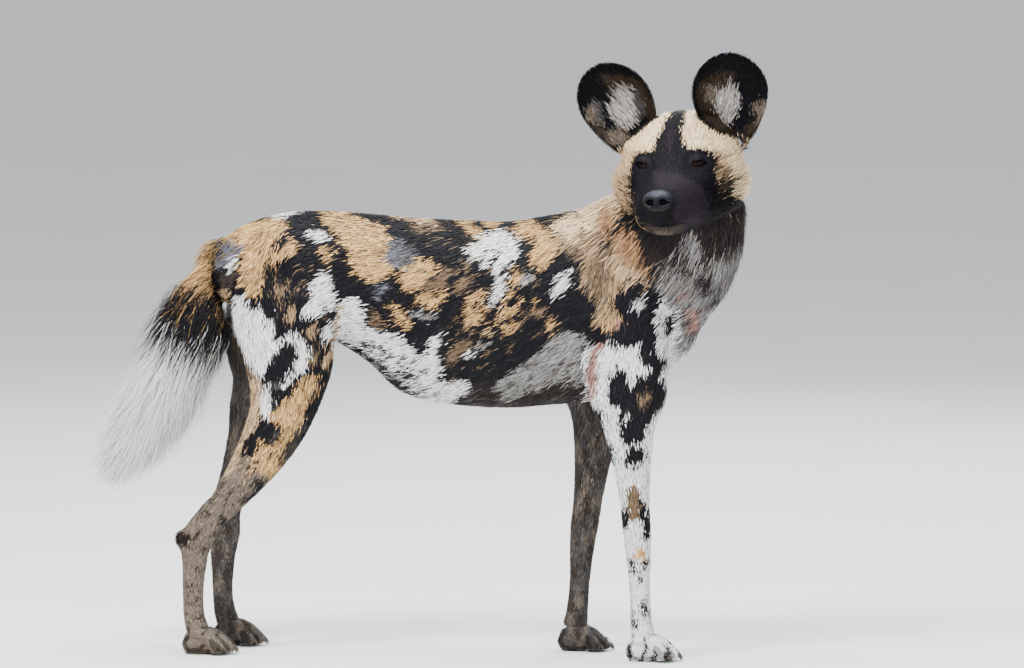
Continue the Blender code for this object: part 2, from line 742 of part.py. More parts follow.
def mouth_groove(group):
    """A thin wedge swept along the mouth line, which presses the line of the closed lips."""
    count = 17
    depth, lip_gap = 0.0075, 0.0011
    rings = np.zeros((count, 4, 3))
    for i, t in enumerate(np.linspace(-1.0, 1.0, count)):
        at = lip_line(t)
        inward = (Vector((0.040, 0.0, at.z)) - at).normalized()
        outer, inner = at - inward * 0.010, at + inward * depth * (1.0 - 0.6 * t**4)
        up = Vector((0.0, 0.0, 1.0))
        rings[i] = [outer + up * 2.4 * lip_gap, inner + up * 0.4 * lip_gap, inner - up * 0.4 * lip_gap,
                    outer - up * 2.4 * lip_gap]
    return loft("mouth groove", rings, group)


def nose_pad(name, grow, group):
    """The bare pad on the end of the muzzle, wider above and narrow below."""
    bpy.ops.mesh.primitive_uv_sphere_add(segments=16, ring_count=9, radius=1.0)
    obj = bpy.context.object
    obj.name = name
    for owner in list(obj.users_collection):
        owner.objects.unlink(obj)
    group.objects.link(obj)
    for vert in obj.data.vertices:
        p = vert.co
        narrow = 1.0 - 0.34 * max(0.0, -p.z)
        p.x = math.copysign(abs(p.x) ** 0.9, p.x) * (NOSE_HALF[0] + grow) - 0.004 * max(0.0, -p.z)
        p.y = math.copysign(abs(p.y) ** 0.9, p.y) * (NOSE_HALF[1] + grow) * narrow
        p.z = math.copysign(abs(p.z) ** 0.9, p.z) * (NOSE_HALF[2] + grow)
    obj.data.transform(Matrix.Translation(NOSE_CENTRE))
    return obj


def nostril(side, group):
    """A comma-shaped hole that runs back and outwards into the pad."""
    sign = side_sign(side)
    x, _, z = NOSE_CENTRE
    rows = [
        (x + 0.020, sign * 0.0065, z - 0.0015, 0.0042, 0.0030),
        (x + 0.011, sign * 0.0090, z - 0.0010, 0.0046, 0.0034),
        (x + 0.003, sign * 0.0125, z + 0.0010, 0.0034, 0.0026),
    ]
    return limb("nostril", rows, 4, 8, group)


def philtrum(group):
    """The short upright groove below the pad's middle."""
    x, _, z = NOSE_CENTRE
    rows = [
        (x + 0.0150, 0.0, z - 0.004, 0.0030, 0.0009),
        (x + 0.0125, 0.0, z - 0.012, 0.0030, 0.0009),
        (x + 0.0080, 0.0, z - 0.022, 0.0030, 0.0009),
    ]
    return limb("philtrum", rows, 4, 6, group)


def ear_grid(side, rows, columns):
    """The inner face of the ear: a funnel at its root that opens into a round cup.

    The two edges rise from the root to the widest level, then close over a half circle. The
    outer edge is fuller and hangs lower at the root than the inner one.
    """
    below = rows // 2
    turn = np.linspace(0.0, math.radians(84.0), rows - below)
    t = np.concatenate([np.linspace(0.0, EAR_WIDEST, below, endpoint=False),
                        EAR_WIDEST + (1.0 - EAR_WIDEST) * np.sin(turn)])[:, None]
    crown = np.concatenate([np.ones(below), np.cos(turn)])[:, None]
    s = np.linspace(-1.0, 1.0, columns)[None, :]
    outer = 0.5 + 0.5 * np.tanh(3.0 * s)
    root = 0.44 + 0.22 * outer
    climb = np.sin(np.clip(t / EAR_WIDEST, 0.0, 1.0) * math.pi / 2.0) ** (1.25 - 0.45 * outer)
    half = EAR_WIDTH / 2.0 * (root + (1.0 - root) * climb) * crown * (0.88 + 0.19 * outer)
    wrap = np.radians(124.0 - 58.0 * t**0.7)
    angle = s * wrap
    across = half * np.sin(angle) / np.sin(np.minimum(wrap, math.pi / 2.0))
    depth = EAR_DEPTH * (1.0 - 0.70 * t) * (np.cos(angle) - np.cos(wrap)) / (1.0 - np.cos(wrap))
    depth = depth * crown**0.5
    height = EAR_HEIGHT * t - 0.022 * np.clip(s, 0.0, 1.0) ** 2 * (1.0 - t) ** 2
    lean = 0.016 * t**2
    return np.stack([lean - depth, side_sign(side) * across, height + 0.0 * s], -1)


def ear(side, group):
    rows, columns = 12, 9
    grid = ear_grid(side, rows, columns)
    faces = []
    for i in range(rows - 1):
        for j in range(columns - 1):
            a = i * columns + j
            faces.append((a, a + 1, a + columns + 1, a + columns))
    if side == "right":
        faces = [face[::-1] for face in faces]
    obj = mesh_object("ear_" + side, grid.reshape(-1, 3), faces, group)
    wall = obj.modifiers.new("wall", "SOLIDIFY")
    wall.thickness = EAR_WALL
    wall.offset = 0.0
    bake(obj)
    face_outwards(obj)
    sign = side_sign(side)
    turn = Matrix.Rotation(sign * EAR_TURN[side], 4, "Z")
    tilt = Matrix.Rotation(-sign * EAR_TILT[side], 4, "X")
    base = Vector((EAR_BASE[0], sign * EAR_BASE[1], EAR_BASE[2]))
    obj.data.transform(Matrix.Translation(base) @ tilt @ turn)
    return obj


def head_piece(group):
    """The head in its own frame, with sockets, lids, mouth line and the seat of the nose pad."""
    head = skull(group)
    added = [eyelid(side, upper, group) for side in ("right", "left") for upper in (True, False)]
    added += cheek_locks(group)
    combine(head, added, "UNION")
    taken = [eyeball("socket", side, EYE_RADIUS + GAP, group) for side in ("right", "left")]
    taken += [eye_opening(side, group) for side in ("right", "left")]
    taken += [nose_pad("nose seat", GAP, group), mouth_groove(group)]
    combine(head, taken, "DIFFERENCE")
    keep_largest(head)
    return head


def thin_cut(name, path, across, group):
    """A thin sheet that follows path and reaches across it to both sides."""
    across = Vector(across)
    verts = [Vector(p) - across for p in path] + [Vector(p) + across for p in path]
    count = len(path)
    faces = [(i, i + 1, count + i + 1, count + i) for i in range(count - 1)]
    sheet = mesh_object(name, verts, faces, group)
    sheet.hide_render = True
    sheet.display_type = "WIRE"
    wall = sheet.modifiers.new("wall", "SOLIDIFY")
    wall.thickness = CUT_WIDTH
    wall.offset = 0.0
    bake(sheet)
    face_outwards(sheet)
    return sheet


def cuts(group):
    """The thin cuts that part the body into its named pieces."""
    y = MIDLINE_Y
    wide = (0.0, 0.16, 0.0)
    head_slope = Vector((0.0, 0.80, 0.60))
    neck_top = Vector((0.378, y - 0.028, 0.700))
    return [
        thin_cut("hip cut", [(-0.372, y, 0.585), (-0.140, y, 0.512), (-0.122, y, 0.430)], wide, group),
        thin_cut("elbow cut", [(0.150, y, 0.352), (0.420, y, 0.462)], wide, group),
        thin_cut("hind middle cut", [(-0.372, y, 0.495), (-0.140, y, 0.422), (-0.122, y, 0.340)],
                 (0.0, 0.0, 0.090), group),
        thin_cut("fore middle cut", [(0.150, y, 0.292), (0.420, y, 0.402)], (0.0, 0.0, 0.060), group),
        thin_cut("neck cut", [(0.222, y, 0.712), (0.455, y, 0.486)], wide, group),
        thin_cut("head cut", [neck_top - head_slope * 0.125, neck_top + head_slope * 0.115],
                 (0.13, 0.0, 0.0), group),
        thin_cut("knee cut", [(-0.350, y, 0.352), (-0.130, y, 0.402)], wide, group),
        thin_cut("hock cut", [(-0.420, y, 0.146), (-0.260, y, 0.146)], wide, group),
        thin_cut("hind paw cut", [(-0.420, y, 0.060), (-0.240, y, 0.060)], wide, group),
        thin_cut("wrist cut", [(0.130, y, 0.176), (0.400, y, 0.176)], wide, group),
        thin_cut("fore paw cut", [(0.130, y, 0.062), (0.400, y, 0.062)], wide, group),
    ]


def seeds():
    """A place near the middle of each piece that the cuts leave, by name."""
    found = {
        "torso": (0.05, 0.0, 0.53),
        "neck": (0.37, 0.0, 0.62),
        "head": (0.37, -0.09, 0.74),
    }
    for side in ("right", "left"):
        out = side_sign(side) * 0.062
        fore, hind = ELBOW_X[side], 0.0 if side == "right" else -0.03
        found["foreleg_%s_forearm" % side] = (fore, out, 0.28)
        found["foreleg_%s_pastern" % side] = (FORE_FOOT_X[side], out, 0.12)
        found["foreleg_%s_paw" % side] = (FORE_FOOT_X[side] + 0.015, out, 0.025)
        found["hindleg_%s_thigh" % side] = (-0.22 + hind, out, 0.46)
        found["hindleg_%s_shank" % side] = (-0.28 + hind, out, 0.26)
        found["hindleg_%s_pastern" % side] = (-0.358 - hind, out, 0.10)
        found["hindleg_%s_paw" % side] = (-0.34 - hind, out, 0.025)
    return {name: Vector((x, y + MIDLINE_Y, z)) for name, (x, y, z) in found.items()}


def part_body(body, group):
    """Cuts the whole body and gives each piece that is left its name."""
    for sheet in cuts(group):
        combine(body, [sheet], "DIFFERENCE", "MANIFOLD")
    places = seeds()
    taken = {}
    for faces in closed_surfaces(body):
        points = np.array([body.data.vertices[i].co for f in faces for i in body.data.polygons[f].vertices])
        middle = Vector(((points.max(0) + points.min(0)) / 2.0).tolist())
        name = min(places, key=lambda key: (places[key] - middle).length)
        if name not in taken:
            taken[name] = surface_object(name, body, faces, group)
    bpy.data.objects.remove(body, do_unlink=True)
    return taken


def floor_block(group):
    """A block whose top is the floor, for cutting the soles flat."""
    bpy.ops.mesh.primitive_cube_add(size=1.0, location=(0.0, MIDLINE_Y, -0.5))
    block = bpy.context.object
    for owner in list(block.users_collection):
        owner.objects.unlink(block)
    group.objects.link(block)
    block.scale = (2.0, 1.0, 1.0)
    block.hide_render = True
    block.display_type = "WIRE"
    bpy.context.view_layer.update()
    block.data.transform(block.matrix_world)
    block.matrix_world = Matrix.Identity(4)
    return block


def build():
    clear_scene()
    dog = collection("african_wild_dog")
    work = collection("cutters")

    body = body_core(work)
    paws = [p for side in ("right", "left") for kind in ("fore", "hind") for p in paw(side, kind, work)]
    for piece in paws:
        piece.data.transform(Matrix.Translation((0.0, 0.0, -SOLE_SINK)))
    combine(body, paws, "UNION")
    combine(body, [floor_block(work)], "DIFFERENCE")

    read = surface_reader(body)
    frame = head_frame()
    head = place(head_piece(work), frame)
    combine(body, [head], "UNION", "MANIFOLD")
    keep_largest(body)
    tail = tail_piece(body, work)
    ruff = ruff_locks(read, work)
    pieces = part_body(body, work)
    pieces["tail"] = tail
    near = [swollen(pieces[name], grow, work) for name in ("head", "torso") for grow in (0.0, GAP)]
    combine(pieces["neck"], ruff, "UNION", "MANIFOLD")
    combine(pieces["neck"], near, "DIFFERENCE", "MANIFOLD")
    keep_largest(pieces["neck"])

    for side in ("right", "left"):
        pieces["eye_" + side] = place(eyeball("eye_" + side, side, EYE_RADIUS, work), frame)
        lobe = place(ear(side, work), frame)
        combine(lobe, [swollen(pieces["head"], GAP, work)], "DIFFERENCE")
        keep_largest(lobe)
        pieces["ear_" + side] = lobe
    nose = nose_pad("nose", 0.0, work)
    combine(nose, [nostril(side, work) for side in ("right", "left")] + [philtrum(work)], "DIFFERENCE")
    keep_largest(nose)
    pieces["nose"] = place(nose, frame)

    coat = material("short coat", (0.16, 0.11, 0.075), 0.75)
    dark = material("dark bare skin", (0.03, 0.03, 0.035), 0.45)
    glossy = material("eye", (0.05, 0.025, 0.012), 0.08)
    tail_hair = material("tail hair", (0.62, 0.56, 0.47), 0.8)
    for name, obj in pieces.items():
        obj.name = name
        for owner in list(obj.users_collection):
            owner.objects.unlink(obj)
        dog.objects.link(obj)
        kind = name.split("_")[0]
        chosen = {"eye": glossy, "nose": dark, "tail": tail_hair}.get(kind, coat)
        obj.data.materials.clear()
        obj.data.materials.append(chosen)
        obj.location.x += SHIFT_X
        obj.data.shade_smooth()
        obj.data.set_sharp_from_angle(angle=math.radians(40.0))


build()
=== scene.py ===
"""The looks of a still, life-size african wild dog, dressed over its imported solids.

The frame is +X from tail to chest, +Y to the animal's left and +Z up, in metres, with the
origin on the floor under the middle of the animal. The animal turns its head to its right.
"""

import math

import bpy
import numpy as np
from mathutils import Matrix, Vector


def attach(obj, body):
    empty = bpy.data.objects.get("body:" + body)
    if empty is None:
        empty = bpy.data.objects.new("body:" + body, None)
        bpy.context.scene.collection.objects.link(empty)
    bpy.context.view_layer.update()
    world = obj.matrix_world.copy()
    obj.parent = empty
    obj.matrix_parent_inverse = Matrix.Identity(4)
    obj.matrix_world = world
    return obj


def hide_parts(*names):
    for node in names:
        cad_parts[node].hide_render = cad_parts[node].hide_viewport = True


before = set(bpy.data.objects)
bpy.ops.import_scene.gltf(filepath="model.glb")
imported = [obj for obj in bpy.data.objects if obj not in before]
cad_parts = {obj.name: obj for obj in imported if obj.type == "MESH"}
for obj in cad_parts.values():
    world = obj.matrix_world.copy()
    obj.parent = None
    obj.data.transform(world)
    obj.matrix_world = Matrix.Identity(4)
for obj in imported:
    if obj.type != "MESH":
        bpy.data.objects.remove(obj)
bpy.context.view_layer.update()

# Trunk and neck
# The barrel of the body, from the rump to the chest, and the neck that rises from the shoulders
# and turns to the right. Both are hoops of flesh set along a line, fused with the legs below.
MIDLINE_Y = 0.0588
SHIFT = np.array([-0.0008, 0.0, 0.0])
WIDEST_LEVEL = 0.56
TRUNK = np.array([
    (-0.328, 0.612, 0.548, 0.034),
    (-0.305, 0.636, 0.512, 0.058),
    (-0.265, 0.655, 0.486, 0.070),
    (-0.210, 0.666, 0.474, 0.075),
    (-0.150, 0.667, 0.466, 0.073),
    (-0.100, 0.664, 0.436, 0.069),
    (-0.050, 0.660, 0.395, 0.071),
    (0.000, 0.657, 0.379, 0.078),
    (0.060, 0.655, 0.373, 0.085),
    (0.120, 0.655, 0.372, 0.089),
    (0.180, 0.665, 0.377, 0.090),
    (0.240, 0.675, 0.384, 0.087),
    (0.290, 0.668, 0.400, 0.079),
    (0.335, 0.640, 0.418, 0.069),
    (0.374, 0.600, 0.444, 0.054),
    (0.399, 0.560, 0.478, 0.030),
])
NECK = np.array([
    (0.190, 0.655, 0.370, 0.455, 0.072, 0.000),
    (0.235, 0.678, 0.410, 0.500, 0.078, 0.000),
    (0.268, 0.694, 0.440, 0.550, 0.077, -0.002),
    (0.288, 0.710, 0.459, 0.600, 0.076, -0.006),
    (0.298, 0.733, 0.466, 0.645, 0.075, -0.012),
    (0.306, 0.763, 0.462, 0.692, 0.073, -0.022),
    (0.322, 0.790, 0.436, 0.735, 0.060, -0.034),
    (0.345, 0.800, 0.410, 0.770, 0.040, -0.044),
])


def smooth_rows(rows, count):
    """Rows of a table read at even steps along the cubic curve that runs through all of them."""
    rows = np.asarray(rows, float)
    last = len(rows) - 1
    at = np.linspace(0.0, last, count)
    k = np.clip(at.astype(int), 0, last - 1)
    t = (at - k)[:, None]
    before, after = rows[np.maximum(k - 1, 0)], rows[np.minimum(k + 2, last)]
    start, end = rows[k], rows[k + 1]
    return 0.5 * (
        2.0 * start
        + (end - before) * t
        + (2.0 * before - 5.0 * start + 4.0 * end - after) * t**2
        + (3.0 * start - before - 3.0 * end + after) * t**3
    )


def hoop(sides, power):
    """Unit points round a rounded square: cosine and sine of even angles, to two over the power."""
    angle = np.linspace(0.0, 2.0 * math.pi, sides, endpoint=False)
    c, s = np.cos(angle), np.sin(angle)
    return np.sign(c) * abs(c) ** (2.0 / power), np.sign(s) * abs(s) ** (2.0 / power)


def points_of(x, y, z):
    """Points from three arrays of places that are spread to one common shape."""
    return np.stack(np.broadcast_arrays(x, y, z), -1)


def unit(vectors, least=0.0):
    """Vectors over their lengths, with a least length added where one may be nothing."""
    return vectors / (np.linalg.norm(vectors, axis=-1)[..., None] + least)


def outward(points, faces):
    """Triangles turned round if their signed volume is negative, so that they face outwards."""
    a, b, c = (points[faces[:, i]] for i in range(3))
    return faces if (a * np.cross(b, c)).sum() > 0.0 else faces[:, ::-1]


def tube(rings):
    """A closed skin over rings of points, each end closed by a fan to the middle of its ring."""
    count, sides = rings.shape[:2]
    points = np.concatenate([rings.reshape(-1, 3), rings[:1].mean(1), rings[-1:].mean(1)])
    i, j = np.meshgrid(np.arange(count - 1) * sides, np.arange(sides), indexing="ij")
    k = (j + 1) % sides
    walls = [np.stack([i + j, i + k, i + sides + k], -1),
             np.stack([i + j, i + sides + k, i + sides + j], -1)]
    j, k, end = j[0], k[0], (count - 1) * sides
    first = np.stack([np.full(sides, count * sides), k, j], -1)
    last = np.stack([np.full(sides, count * sides + 1), end + j, end + k], -1)
    faces = np.concatenate([w.reshape(-1, 3) for w in walls] + [first, last])
    return points, outward(points, faces)


def mesh_piece(name, points, faces):
    """An object at the origin whose mesh has these points and these faces of equal side counts."""
    mesh = bpy.data.meshes.new(name)
    mesh.vertices.add(len(points))
    mesh.vertices.foreach_set("co", np.ascontiguousarray(points, np.float32).ravel())
    mesh.loops.add(faces.size)
    mesh.loops.foreach_set("vertex_index", np.ascontiguousarray(faces, np.int32).ravel())
    mesh.polygons.add(len(faces))
    mesh.polygons.foreach_set("loop_start", np.arange(0, faces.size, faces.shape[1], dtype=np.int32))
    mesh.update(calc_edges=True)
    mesh.polygons.foreach_set("use_smooth", np.ones(len(faces), bool))
    obj = bpy.data.objects.new(name, mesh)
    bpy.context.scene.collection.objects.link(obj)
    return obj


def settled(obj):
    """The object with its modifiers worked into its mesh."""
    mesh = bpy.data.meshes.new_from_object(obj.evaluated_get(bpy.context.evaluated_depsgraph_get()))
    obj.modifiers.clear()
    obj.data = mesh
    return obj


def joined_shells(name, shells):
    """Closed shells put into one mesh, side by side."""
    starts = np.cumsum([0] + [len(points) for points, _ in shells])
    faces = np.concatenate([f + start for (_, f), start in zip(shells, starts)])
    return mesh_piece(name, np.concatenate([p for p, _ in shells]), faces)


def fused(name, shells, voxel, rounds):
    """Closed shells run together on a grid of cubes of the given size, then relaxed some rounds."""
    obj = joined_shells(name, shells)
    grid = obj.modifiers.new("grid", "REMESH")
    grid.mode = "VOXEL"
    grid.voxel_size = voxel
    relax = obj.modifiers.new("relax", "SMOOTH")
    relax.factor = 0.5
    relax.iterations = rounds
    return settled(obj)


def joined(base, others, operation="UNION"):
    """Base with each of the others added or taken away, which are then removed."""
    for other in others:
        step = base.modifiers.new("join", "BOOLEAN")
        step.operation = operation
        step.solver = "MANIFOLD"
        step.object = other
    settled(base)
    for other in others:
        bpy.data.objects.remove(other, do_unlink=True)
    return base


def trunk_rings():
    """Hoops square to X: half an ellipse above and another below a fixed share of the height."""
    rows = smooth_rows(TRUNK, 100)
    across, up = hoop(64, 2.15)
    x, top, bottom, half = (column[:, None] for column in rows.T)
    level = bottom + (top - bottom) * WIDEST_LEVEL
    z = level + np.where(up > 0, (top - level) * up, (level - bottom) * up)
    return points_of(x, MIDLINE_Y + half * across, z)


def neck_rings():
    """Hoops from the throat's edge to the back's edge, moved sideways as the neck turns."""
    rows = smooth_rows(NECK, 60)
    across, up = hoop(60, 2.1)
    back, throat = rows[:, 0:2], rows[:, 2:4]
    middle, reach = (back + throat) / 2.0, (back - throat) / 2.0
    x = middle[:, :1] + reach[:, :1] * up
    z = middle[:, 1:] + reach[:, 1:] * up
    return np.stack([x, MIDLINE_Y + rows[:, 5:] + rows[:, 4:5] * across, z], -1)


# Legs
# Four long thin legs that run up into the trunk. Each is rings square to its own line from the
# thigh or shoulder down to the wrist or hock and the foot, and the hind ones have a heel bone.
FORELEG = np.array([
    (0.640, -0.13, 0.034, 0.014, 0.052),
    (0.580, -0.06, 0.052, 0.024, 0.063),
    (0.510, 0.03, 0.060, 0.030, 0.069),
    (0.450, 0.03, 0.062, 0.032, 0.070),
    (0.395, 0.00, 0.057, 0.032, 0.069),
    (0.350, 0.06, 0.041, 0.029, 0.067),
    (0.300, 0.22, 0.0305, 0.0255, 0.065),
    (0.240, 0.42, 0.0240, 0.0210, 0.062),
    (0.195, 0.58, 0.0225, 0.0215, 0.060),
    (0.160, 0.70, 0.0205, 0.0200, 0.060),
    (0.110, 0.80, 0.0172, 0.0180, 0.060),
    (0.065, 0.90, 0.0175, 0.0215, 0.060),
    (0.035, 1.02, 0.0200, 0.0245, 0.060),
])
ELBOW_X = {"right": 0.302, "left": 0.240}
FORE_FOOT_X = {"right": 0.322, "left": 0.205}
HINDLEG = np.array([
    (-0.232, 0.615, 0.052, 0.020, 0.040),
    (-0.225, 0.560, 0.074, 0.030, 0.048),
    (-0.216, 0.505, 0.082, 0.036, 0.053),
    (-0.213, 0.455, 0.071, 0.037, 0.056),
    (-0.215, 0.405, 0.058, 0.034, 0.058),
    (-0.226, 0.360, 0.049, 0.030, 0.059),
    (-0.248, 0.315, 0.0420, 0.0265, 0.060),
    (-0.279, 0.268, 0.0330, 0.0225, 0.060),
    (-0.305, 0.236, 0.0270, 0.0200, 0.060),
    (-0.332, 0.205, 0.0240, 0.0195, 0.060),
    (-0.353, 0.172, 0.0260, 0.0205, 0.060),
    (-0.357, 0.135, 0.0205, 0.0180, 0.060),
    (-0.359, 0.090, 0.0175, 0.0170, 0.060),
    (-0.357, 0.055, 0.0175, 0.0205, 0.060),
    (-0.350, 0.032, 0.0190, 0.0235, 0.060),
])
LEFT_HIND_SHIFT = (
    (0.0, 0.026), (0.17, 0.022), (0.25, -0.022), (0.36, -0.050), (0.46, -0.046), (0.60, 0.0))
SIDES = {"right": -1.0, "left": 1.0}


def limb_rings(rows, count, sides):
    """Rings square to the line through rows of x, y, z, half depth and half width."""
    rows = smooth_rows(rows, count)
    line = unit(np.gradient(rows[:, [0, 2]], axis=0))
    across, up = hoop(sides, 2.0)
    x = rows[:, :1] + line[:, 1:] * rows[:, 3:4] * up
    z = rows[:, 2:3] - line[:, :1] * rows[:, 3:4] * up
    return np.stack([x, rows[:, 1:2] + rows[:, 4:5] * across, z], -1)


def foreleg_rows(side):
    """Rows down a foreleg, swung between its elbow and its foot by the lean of each row."""
    z, lean, deep, wide, out = FORELEG.T
    elbow, foot = ELBOW_X[side], FORE_FOOT_X[side]
    x = np.where(lean >= 0.0, elbow + (foot - elbow) * lean, elbow + 0.5 * lean)
    return np.stack([x, MIDLINE_Y + SIDES[side] * out, z, deep, wide], -1)


def hindleg_rows(side):
    """Rows down a hind leg, with the left one moved along X by its height."""
    x, z, deep, wide, out = HINDLEG.T
    heights, shifts = zip(*LEFT_HIND_SHIFT)
    shift = np.interp(z, heights, shifts) if side == "left" else 0.0
    return np.stack([x + shift, MIDLINE_Y + SIDES[side] * out, z, deep, wide], -1)


def heel_rows(side):
    """Rows along the heel bone, which stands out behind and above the hock."""
    x, y, z = hindleg_rows(side)[10, :3]
    return np.array([
        (x + 0.006, y, z - 0.022, 0.012, 0.012),
        (x - 0.010, y, z - 0.006, 0.018, 0.015),
        (x - 0.024, y, z + 0.004, 0.015, 0.0125),
        (x - 0.033, y, z + 0.010, 0.009, 0.008),
    ])


# Tail
# A tapering tail core of flesh that hangs behind the thighs, under the long brush that is
# planted on it further down. Each row is x, z and the core's radius.
TAIL_FLATNESS = 0.74
TAIL = np.array([
    (-0.272, 0.606, 0.012),
    (-0.298, 0.610, 0.018),
    (-0.320, 0.600, 0.023),
    (-0.338, 0.568, 0.024),
    (-0.350, 0.522, 0.030),
    (-0.376, 0.472, 0.026),
    (-0.400, 0.420, 0.025),
    (-0.427, 0.368, 0.020),
    (-0.457, 0.322, 0.014),
    (-0.484, 0.288, 0.008),
    (-0.505, 0.264, 0.003),
])


def tail_rows():
    """Rows of x, y, z, half depth and half width along the tail's core, a little short of its tip."""
    x, z, core = TAIL[:-1].T
    return np.stack([x, np.full(len(x), MIDLINE_Y), z, 0.9 * core, 0.9 * TAIL_FLATNESS * core], -1)


BODY_VOXEL = 0.0052
limbs = [
    tube(limb_rings(rows(side), 120, 32)) for side in SIDES for rows in (foreleg_rows, hindleg_rows)]
heels = [tube(limb_rings(heel_rows(side), 24, 24)) for side in SIDES]
tail_core = tube(limb_rings(tail_rows(), 80, 24))
shells = [tube(trunk_rings()), tube(neck_rings()), tail_core] + limbs + heels
body = fused("skin", shells, BODY_VOXEL, 9)

# Paws
# Each foot has four toes set round a heel pad, and rests flat on the floor. The toes and the pad
# are fused at a finer grid than the body, so that the furrows between the toes stay.
PAW_LENGTH = 0.078
TOE_RADIUS = 0.0098
TOE_SPACING = 0.0140
SOLE_SINK = 0.0022
PAW_VOXEL = 0.0022
TOE_PLACES = (-1.5, -0.5, 0.5, 1.5)


def toe_line(side, kind, place):
    """The middle of the foot, how far forward this toe reaches and how far it stands to the side."""
    rows = foreleg_rows(side) if kind == "fore" else hindleg_rows(side)
    forward = PAW_LENGTH - 0.030 - (0.012 if abs(place) > 1.0 else 0.0)
    return rows[-1, 0], rows[-1, 1], forward, place * TOE_SPACING


def paw_shells(side, kind):
    """Four toes as bent tubes and the pad as a short thick one, in the foot's own place."""
    shells = []
    for place in TOE_PLACES:
        x, y, forward, spread = toe_line(side, kind, place)
        r = TOE_RADIUS
        shells.append(np.array([
            (x - 0.012, y + 0.62 * spread, 0.034, 1.0 * r, 0.80 * r),
            (x + 0.30 * forward, y + 0.88 * spread, 0.0330, 1.02 * r, 0.76 * r),
            (x + 0.58 * forward, y + 1.04 * spread, 0.0270, 1.12 * r, 0.74 * r),
            (x + 0.82 * forward, y + 1.10 * spread, 0.0160, 1.18 * r, 0.76 * r),
            (x + 0.98 * forward, y + 1.10 * spread, 0.0100, 1.02 * r, 0.72 * r),
            (x + 1.02 * forward, y + 1.10 * spread, 0.0055, 0.5 * r, 0.45 * r),
        ]))
    shells.append(np.array([
        (x - 0.023, y, 0.026, 0.010, 0.013),
        (x - 0.012, y, 0.022, 0.0215, 0.020),
        (x + 0.008, y, 0.019, 0.0195, 0.0215),
        (x + 0.024, y, 0.015, 0.0110, 0.0180),
    ]))
    lowered = [rows - np.array([0.0, 0.0, SOLE_SINK, 0.0, 0.0]) for rows in shells]
    return [tube(limb_rings(rows, 24, 20)) for rows in lowered]


paws = [
    fused("paw", paw_shells(side, kind), PAW_VOXEL, 1) for side in SIDES for kind in ("fore", "hind")]

# Head
# A broad skull with a short, strong muzzle, small deep eyes and closed lips. It is rings along
# the head's own line, pressed and raised where bone and muscle show, with rolled lids fused on.
HEAD = np.array([
    (0.1425, -0.049, -0.067, 0.006, -0.058),
    (0.139, -0.038, -0.077, 0.019, -0.059),
    (0.132, -0.029, -0.086, 0.029, -0.061),
    (0.120, -0.0225, -0.093, 0.0375, -0.062),
    (0.102, -0.0180, -0.098, 0.0435, -0.062),
    (0.082, -0.0130, -0.101, 0.0500, -0.058),
    (0.064, -0.0030, -0.102, 0.0580, -0.052),
    (0.049, 0.0120, -0.102, 0.0665, -0.046),
    (0.032, 0.0320, -0.102, 0.0765, -0.040),
    (0.012, 0.0490, -0.100, 0.0860, -0.035),
    (-0.014, 0.0600, -0.095, 0.0920, -0.031),
    (-0.040, 0.0640, -0.084, 0.0900, -0.024),
    (-0.065, 0.0610, -0.064, 0.0790, -0.012),
    (-0.088, 0.0490, -0.036, 0.0600, 0.000),
    (-0.104, 0.0320, -0.008, 0.0340, 0.010),
])
EYES_MIDDLE = Vector((0.371, -0.115 + MIDLINE_Y, 0.748))
EYE_FORWARD = 0.040
EYE_SIDE = 0.0391
EYE_RADIUS = 0.0115
HEAD_HEADING = math.radians(-96.5)
HEAD_PITCH = math.radians(6.0)
HEAD_ROLL = math.radians(2.5)
SKULL_ROUNDNESS = 2.25
HEAD_VOXEL = 0.0023
LIP_GROOVE = 0.0032
SOCKET_GAP = 0.0002
LID_OPENING = (0.0098, 0.0046, 0.0065)
UPPER_LID_THICKNESS = 0.0042
LOWER_LID_THICKNESS = 0.0028


def head_matrix():
    """From the head's own frame, forward, left and up from between the eyes, to the world."""
    c, s = math.cos(HEAD_HEADING), math.sin(HEAD_HEADING)
    forward = Vector((c * math.cos(HEAD_PITCH), s * math.cos(HEAD_PITCH), -math.sin(HEAD_PITCH)))
    level_left = Vector((-s, c, 0.0))
    upright = forward.cross(level_left)
    left = level_left * math.cos(HEAD_ROLL) + upright * math.sin(HEAD_ROLL)
    turn = Matrix((forward, left, forward.cross(left))).transposed().to_4x4()
    return Matrix.Translation(EYES_MIDDLE) @ turn @ Matrix.Translation((-EYE_FORWARD, 0.0, 0.0))


def moved(points, matrix):
    """Points carried by a 4 by 4 matrix."""
    m = np.array(matrix)
    return points @ m[:3, :3].T + m[:3, 3]


def bump(points, centre, radii):
    """One at centre, falling smoothly to nothing at the given radii."""
    away = (points - np.array(centre)) / np.array(radii)
    return np.exp(-2.2 * (away**2).sum(-1))


